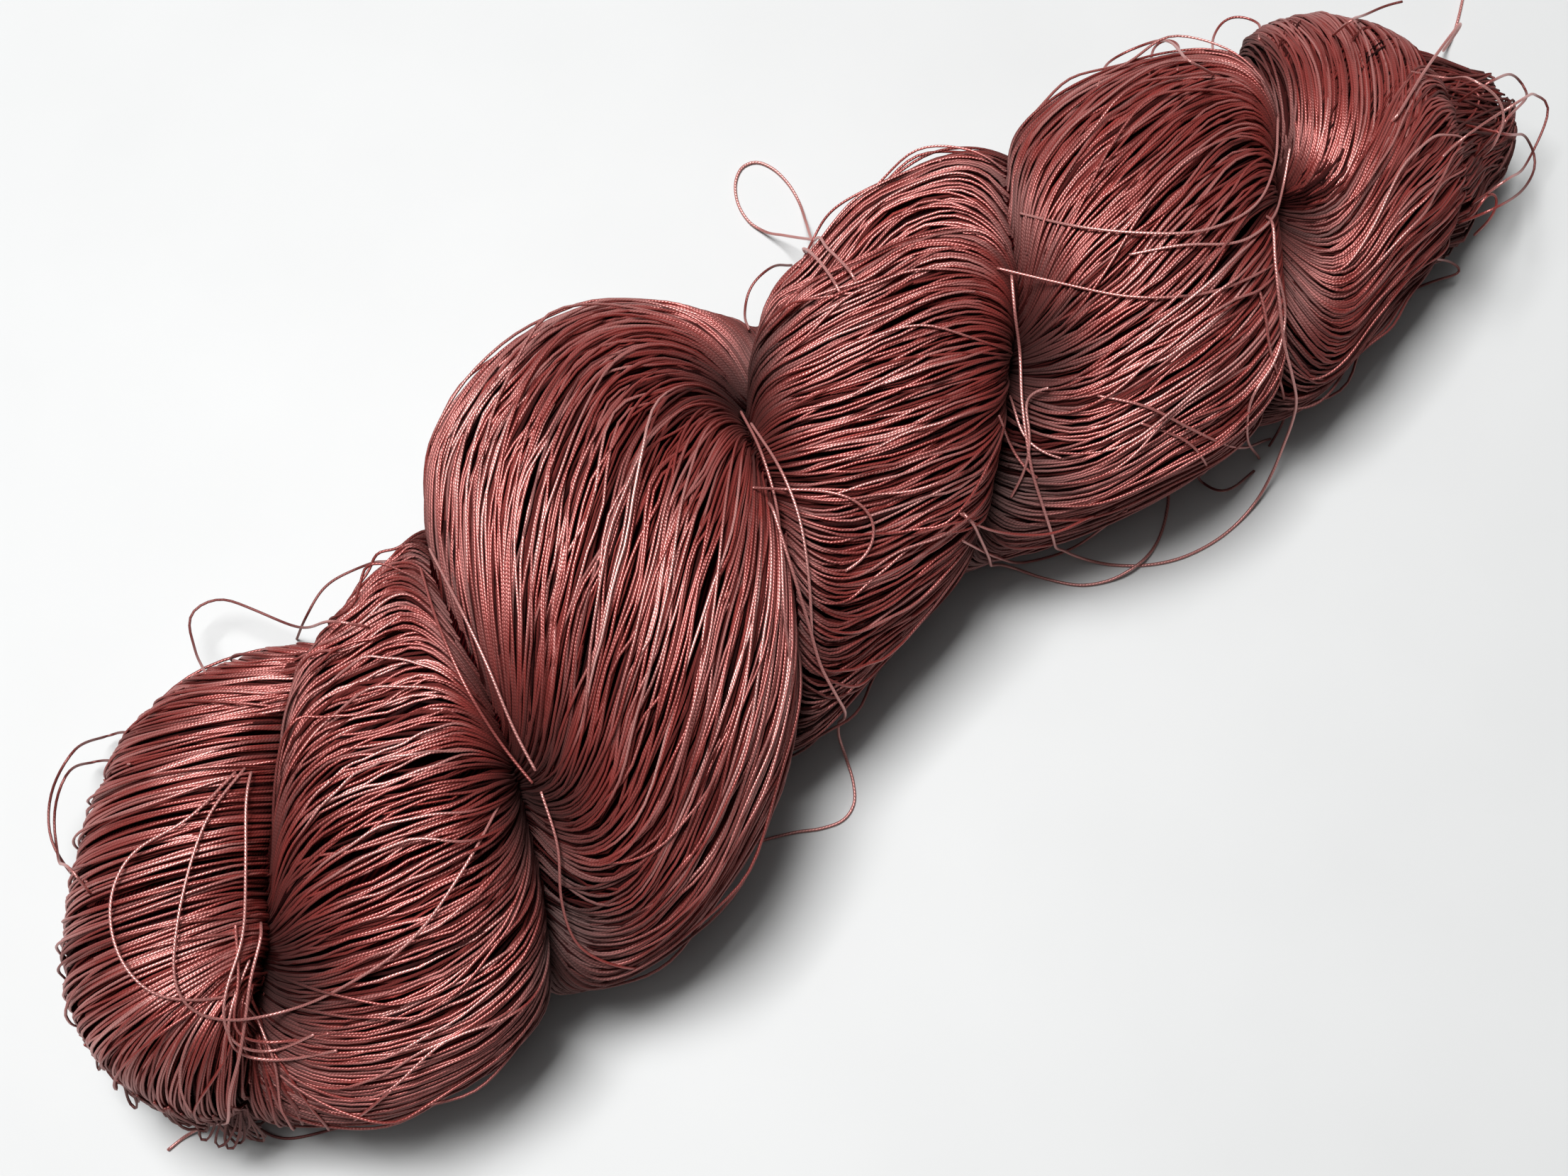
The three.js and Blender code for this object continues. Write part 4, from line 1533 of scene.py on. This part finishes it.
# Strays, each a row of places: right and down in a picture 2000 wide, and height over the silk or the table
STRAYS = (
    ((960, 622, 0.2), (1000, 624, 0.7), (1068, 629, 1.0), (1103, 646, 1.2), (1117, 675, 1.2),
     (1103, 712, 1.0), (1077, 729, 0.3)),
    ((1337, 495, 1.2), (1315, 500, 1.6), (1306, 511, 1.6), (1311, 535, 1.2), (1314, 569, 0.9),
     (1307, 600, 0.8), (1289, 635, 0.2)),
    ((1274, 530, 0.1), (1279, 543, 0.7), (1289, 569, 0.9), (1304, 594, 0.9), (1323, 610, 0.2)),
    ((1288, 505, 0.1), (1294, 521, 0.7), (1303, 553, 0.9), (1325, 575, 0.8), (1355, 585, 0.2)),
    ((175, 935, 0.3), (140, 938, 2.0), (88, 963, 18), (62, 1020, 14), (64, 1074, 14), (84, 1106, 14),
     (110, 1125, 0.3)),
    ((165, 975, 0.3), (120, 972, 2.0), (82, 990, 16), (68, 1036, 13), (72, 1084, 13), (92, 1112, 12),
     (115, 1140, 0.3)),
    ((470, 800, 0.3), (433, 793, 8), (369, 797, 10), (314, 774, 9), (277, 763, 8), (240, 783, 8),
     (246, 820, 10), (262, 860, 0.4)),
    ((500, 715, 0.4), (461, 723, 12), (415, 746, 12), (392, 783, 12), (378, 815, 0.4)),
    ((300, 985, 0.2), (238, 1046, 1.4), (166, 1090, 1.4), (140, 1147, 1.4), (151, 1220, 1.4),
     (194, 1268, 1.2), (260, 1276, 0.8), (300, 1268, 0.2)),
    ((312, 980, 0.2), (266, 1039, 1.0), (238, 1118, 1.0), (223, 1198, 1.2), (222, 1255, 1.2),
     (240, 1287, 1.2), (288, 1302, 1.2), (360, 1291, 1.1), (432, 1262, 1.0), (526, 1198, 0.9),
     (598, 1097, 0.8), (640, 1020, 0.1)),
    ((320, 985, 0.2), (314, 1010, 0.8), (313, 1104, 0.9), (309, 1198, 0.9), (288, 1262, 1.0),
     (284, 1300, 1.2), (302, 1334, 1.2), (345, 1342, 0.9), (400, 1320, 0.1)),
    ((300, 1180, 0.2), (304, 1260, 1.0), (296, 1300, 1.4), (310, 1325, 1.4), (350, 1330, 1.0),
     (420, 1318, 0.2)),
    ((318, 1225, 0.1), (296, 1280, 1.1), (290, 1318, 1.4), (312, 1348, 1.2), (362, 1352, 1.0),
     (430, 1340, 0.2)),
    ((320, 1430, 1.5), (335, 1444, 0.6), (360, 1454, 0.5), (415, 1443, 0.6), (461, 1422, 1.5),
     (500, 1390, 0.2)),
    ((1800, 92, 0.3), (1842, 100, 1.5), (1880, 103, 17), (1912, 127, 15), (1919, 155, 13), (1908, 180, 11),
     (1890, 200, 0.4)),
    ((1860, 130, 0.5), (1898, 106, 15), (1937, 102, 15), (1945, 113, 14), (1919, 155, 13),
     (1880, 200, 0.4)),
    ((1840, 200, 0.4), (1866, 176, 2.0), (1930, 134, 15), (1965, 125, 13), (1977, 131, 12), (1972, 155, 11),
     (1951, 201, 9), (1916, 233, 9), (1875, 262, 0.4)),
    ((1870, 160, 0.4), (1916, 171, 12), (1951, 184, 10), (1960, 208, 9), (1951, 229, 9), (1902, 268, 9),
     (1860, 285, 0.4)),
    ((1700, 45, 0.4), (1722, 27, 18), (1746, 17, 18), (1771, 6, 16), (1790, 2, 16)),
    ((1548, 80, 0.4), (1551, 40, 20), (1563, 22, 20), (1588, 21, 20), (1602, 27, 20), (1606, 50, 0.5)),
    ((1400, 110, 0.3), (1424, 72, 22), (1467, 54, 24), (1518, 79, 24), (1548, 95, 0.4)),
    ((1466, 95, 0.4), (1476, 56, 24), (1487, 47, 24), (1498, 52, 24), (1502, 90, 0.4)),
    ((1830, 330, 0.3), (1856, 338, 5), (1868, 347, 4), (1835, 356, 4), (1800, 370, 0.5)),
    ((955, 420, 0.3), (950, 395, 18), (956, 366, 18), (977, 345, 18), (1010, 338, 0.5)),
    ((1020, 340, 0.4), (1034, 312, 20), (1056, 272, 22), (1106, 241, 24), (1157, 219, 24),
     (1200, 205, 0.5)),
    ((1225, 655, 0.2), (1243, 668, 1.0), (1286, 681, 5), (1344, 681, 5), (1387, 661, 1.0),
     (1488, 628, 0.2)),
    ((1228, 690, 0.5), (1272, 711, 3), (1315, 716, 2), (1358, 704, 3), (1437, 650, 0.3)),
    ((1400, 505, 0.1), (1459, 517, 0.8), (1517, 546, 1.0), (1572, 570, 0.9), (1620, 560, 0.2)),
    ((1455, 540, 0.1), (1510, 560, 0.9), (1538, 592, 1.2), (1531, 614, 1.4), (1560, 628, 6),
     (1600, 600, 0.3)),
    ((1630, 150, 0.1), (1626, 209, 1.2), (1597, 266, 1.4), (1532, 295, 1.3), (1453, 297, 1.1),
     (1374, 289, 0.9), (1300, 272, 0.1)),
    ((1645, 190, 0.1), (1636, 240, 1.2), (1618, 285, 1.4), (1578, 310, 1.2), (1510, 312, 0.9),
     (1440, 325, 0.1)),
    ((1272, 342, 0.1), (1352, 361, 0.9), (1446, 379, 1.0), (1539, 374, 1.2), (1597, 353, 1.2),
     (1632, 332, 0.1)),
    ((1628, 345, 0.1), (1634, 366, 1.0), (1640, 403, 1.2), (1626, 461, 1.2), (1597, 504, 1.2),
     (1590, 550, 1.0), (1606, 585, 0.3)),
    ((1606, 370, 0.1), (1614, 400, 0.9), (1618, 440, 1.1), (1636, 500, 1.3), (1633, 545, 2.0),
     (1618, 570, 0.4)),
    ((945, 525, 0.1), (970, 574, 1.0), (988, 632, 1.3), (996, 690, 1.3), (1000, 780, 1.2),
     (1010, 860, 0.2)),
    ((958, 540, 0.1), (998, 603, 0.8), (1020, 661, 0.9), (1032, 740, 0.9), (1036, 820, 0.2)),
    ((548, 700, 0.1), (585, 772, 0.9), (622, 850, 1.0), (655, 930, 0.9), (684, 985, 0.1)),
    ((536, 724, 0.1), (560, 800, 1.1), (596, 880, 1.2), (640, 950, 1.0), (680, 1000, 0.1)),
    ((690, 1010, 0.1), (712, 1080, 1.2), (716, 1150, 1.5), (740, 1210, 1.4), (800, 1235, 1.1),
     (870, 1200, 0.2)),
    ((1880, 300, 0.4), (1905, 272, 6), (1912, 250, 5), (1896, 246, 5), (1888, 262, 6), (1870, 280, 0.4)),
)


@dataclass
class StrayThreads(Laying):
    """Single threads that lie across the turns or loop into the air, each along its own row of places."""

    camera: PhotoCamera = field(default_factory=PhotoCamera)
    stations: int = 72
    highest: float = 62.0
    ease: float = 1.6
    step: float = 0.3
    tones: tuple[float, float] = (0.5, 0.8)

    def spots(self, row: tuple[tuple[float, float, float], ...]) -> Array:
        """Finds where the silk or the table is seen at each place of a row, and goes up from there.

        Args:
            row: Places in the picture with a height over what is seen there.

        Returns:
            Points of the frame in millimetres.
        """
        places = np.array(row, float)
        eye, ray = self.camera.rays(places[:, 0], places[:, 1])
        z = np.linspace(self.highest, 0.0, 249)
        points = eye + ray[:, None, :] * ((z - eye[2]) / ray[:, 2:3])[..., None]
        inside = self.form.holds(points)
        seen = np.where(inside.any(axis=1), z[inside.argmax(axis=1)], 0.0)
        height = seen + places[:, 2]
        return eye + ray * ((height - eye[2]) / ray[:, 2])[:, None]

    def relaxed(self, path: Array) -> Array:
        """Rounds a curve's corners with a bell-shaped average along it, and spaces its points evenly.

        Args:
            path: Points on the curve.

        Returns:
            As many points as there are stations.
        """
        along = lengths_along(path[None])[0]
        even = np.arange(0, along[-1], self.step)
        fine = np.stack([np.interp(even, along, path[:, axis]) for axis in range(3)], axis=-1)
        half = min(int(3 * self.ease / self.step), len(fine) // 2 - 1)
        weights = np.exp(-((np.arange(-half, half + 1) * self.step / self.ease) ** 2) / 2)
        before = 2 * fine[0] - fine[half:0:-1]
        after = 2 * fine[-1] - fine[-2:-half - 2:-1]
        padded = np.concatenate([before, fine, after])
        weights /= weights.sum()
        soft = np.stack([np.convolve(padded[:, axis], weights, "valid") for axis in range(3)], axis=-1)
        return evened(np.stack([
            np.interp(np.linspace(0, 1, self.stations), np.linspace(0, 1, len(soft)), soft[:, axis])
            for axis in range(3)
        ], axis=-1)[None])[0][0]

    def paths(self) -> tuple[Array, Array]:
        """Runs a smooth curve through each row's points.

        Returns:
            The paths in millimetres and the shade at each point.
        """
        rng = np.random.default_rng(self.seed)
        paths = np.array([self.relaxed(curve(self.spots(row))) for row in STRAYS])
        shade = rng.uniform(*self.tones, (len(paths), 1)) + np.zeros((1, self.stations))
        return paths, shade


def corners(bounds: tuple) -> list:
    """Turns a pair of corners into plain lists."""
    return [[float(value) for value in corner] for corner in bounds]


def lay_lobes(form: HankForm, silk: bpy.types.Material, deep_silk: bpy.types.Material) -> None:
    """Lays every lobe in three: its turns, the turns under them in the shade, and a few wild ones on top.

    Args:
        form: The hank's form.
        silk: The thread's finish.
        deep_silk: The finish of threads in the shade.
    """
    lobes = (
        ("lobe_b", Ply.TWO, -180, 180, 2.6, {"wander": 0.75, "knots": 3, "stations": 24}),
        ("lobe_c", Ply.ONE, 180, 540, 2.6, {"wander": 1.35, "knots": 6, "stations": 34}),
        ("lobe_d", Ply.TWO, 180, 540, 2.6, {"wander": 0.75, "knots": 3, "stations": 24}),
        ("lobe_e", Ply.ONE, 540, 925, 2.6, {"wander": 1.0, "knots": 4, "stations": 26}),
        ("lobe_f", Ply.TWO, 540, 712, 4.5, {"wander": 0.9, "knots": 4, "stations": 24}),
        ("lobe_f_far", Ply.TWO, 836, 900, 4.5, {"wander": 0.9, "knots": 4, "stations": 20}),
        ("lobe_a_far", Ply.ONE, 92, 180, 2.6, {"wander": 0.8, "knots": 4, "stations": 22}),
    )
    # Painted shade: the turns under the others take a low tone_and_shade, so their colour is dark.
    deep = {
        "spacing": 0.5, "level": -0.75, "sides": 3, "stations": 13, "thickness": 0.5, "drift": 0.5,
        "wander": 0.8, "draw": -0.05, "tone_and_shade": 0.17,
    }
    wild = {
        "spacing": 3.4, "level": 0.2, "sides": 4, "stations": 38, "drift": 2.6, "wander": 2.8, "sway": 0.1,
        "knots": 2, "bulge": 3.0, "tone_and_shade": 0.6,
    }
    # Painted shade: the turns under the arcs take a low tone_and_shade.
    LobeTurns(
        "lobe_f_under_arcs", form, 30, ply=Ply.TWO, first_turn=690, last_turn=860, spacing=0.5, level=-0.75,
        sides=3, stations=14, tone_and_shade=0.2, dive=4.5,
    ).build(deep_silk)
    for number, (name, ply, first, last, dive, own) in enumerate(lobes):
        place = {"form": form, "ply": ply, "first_turn": first, "last_turn": last}
        LobeTurns(f"{name}_turns", seed=11 + number, dive=dive, **own, **place).build(silk)
        LobeTurns(f"{name}_deep_turns", seed=31 + number, dive=dive - 0.2, **deep, **place).build(deep_silk)
        LobeTurns(f"{name}_wild_turns", seed=51 + number, dive=dive + 0.6, **wild, **place).build(silk)


def lay_ends(form: HankForm, silk: bpy.types.Material, deep_silk: bpy.types.Material) -> None:
    """Lays the blunt end, the arcs of the last lobe and the tuck at the narrow end.

    Args:
        form: The hank's form.
        silk: The thread's finish.
        deep_silk: The finish of threads in the shade.
    """
    BluntEnd("lobe_a_turns", form, 71).build(silk)
    # Painted shade: each deep laying below lies under the others and takes a low tone_and_shade.
    BluntEnd(
        "lobe_a_deep_turns", form, 72, sides=3, level=-0.85, spacing=0.55, stations=18, tone_and_shade=0.17,
    ).build(deep_silk)
    BluntEnd(
        "lobe_a_wild_turns", form, 73, sides=4, level=0.3, spacing=5.0, stations=40, wander=2.2, heave=0.8,
    ).build(silk)
    FootLoops("foot_loops", form, 74, sides=4, stations=26).build(silk)
    EndArcs("lobe_f_arcs", form, 75).build(silk)
    EndArcs(
        "lobe_f_deep_arcs", form, 76, sides=3, level=-0.8, count=66, stations=20, tone_and_shade=0.17,
    ).build(deep_silk)
    TailLoops("tail_loops", form, 77, sides=4).build(silk)
    TailLoops(
        "tail_deep_loops", form, 79, sides=3, count=170, stations=16, level=-1.0, tone_and_shade=0.22,
    ).build(deep_silk)


def main() -> None:
    """Builds the hank, its loose threads, the table and the light."""
    logging.basicConfig(level=logging.INFO, format="%(message)s")
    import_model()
    PhotoCamera().build()
    silk = PliedSilk().build()
    # A copy of the silk with a weaker, rougher shine for threads in the shade: painted shade.
    deep_silk = PliedSilk(name="reeled_silk_thread_in_shade", shine_level=0.3, index=1.5, roughness=0.5).build()
    for thread in LOOSE_THREADS:
        thread.build(silk)
    form = HankForm()
    Heart(form).build(PackedSilk().build())
    lay_lobes(form, silk, deep_silk)
    lay_ends(form, silk, deep_silk)
    StrayThreads("stray_threads", form, 78).build(silk)
    Studio().build()


if __name__ == "__main__":
    main()
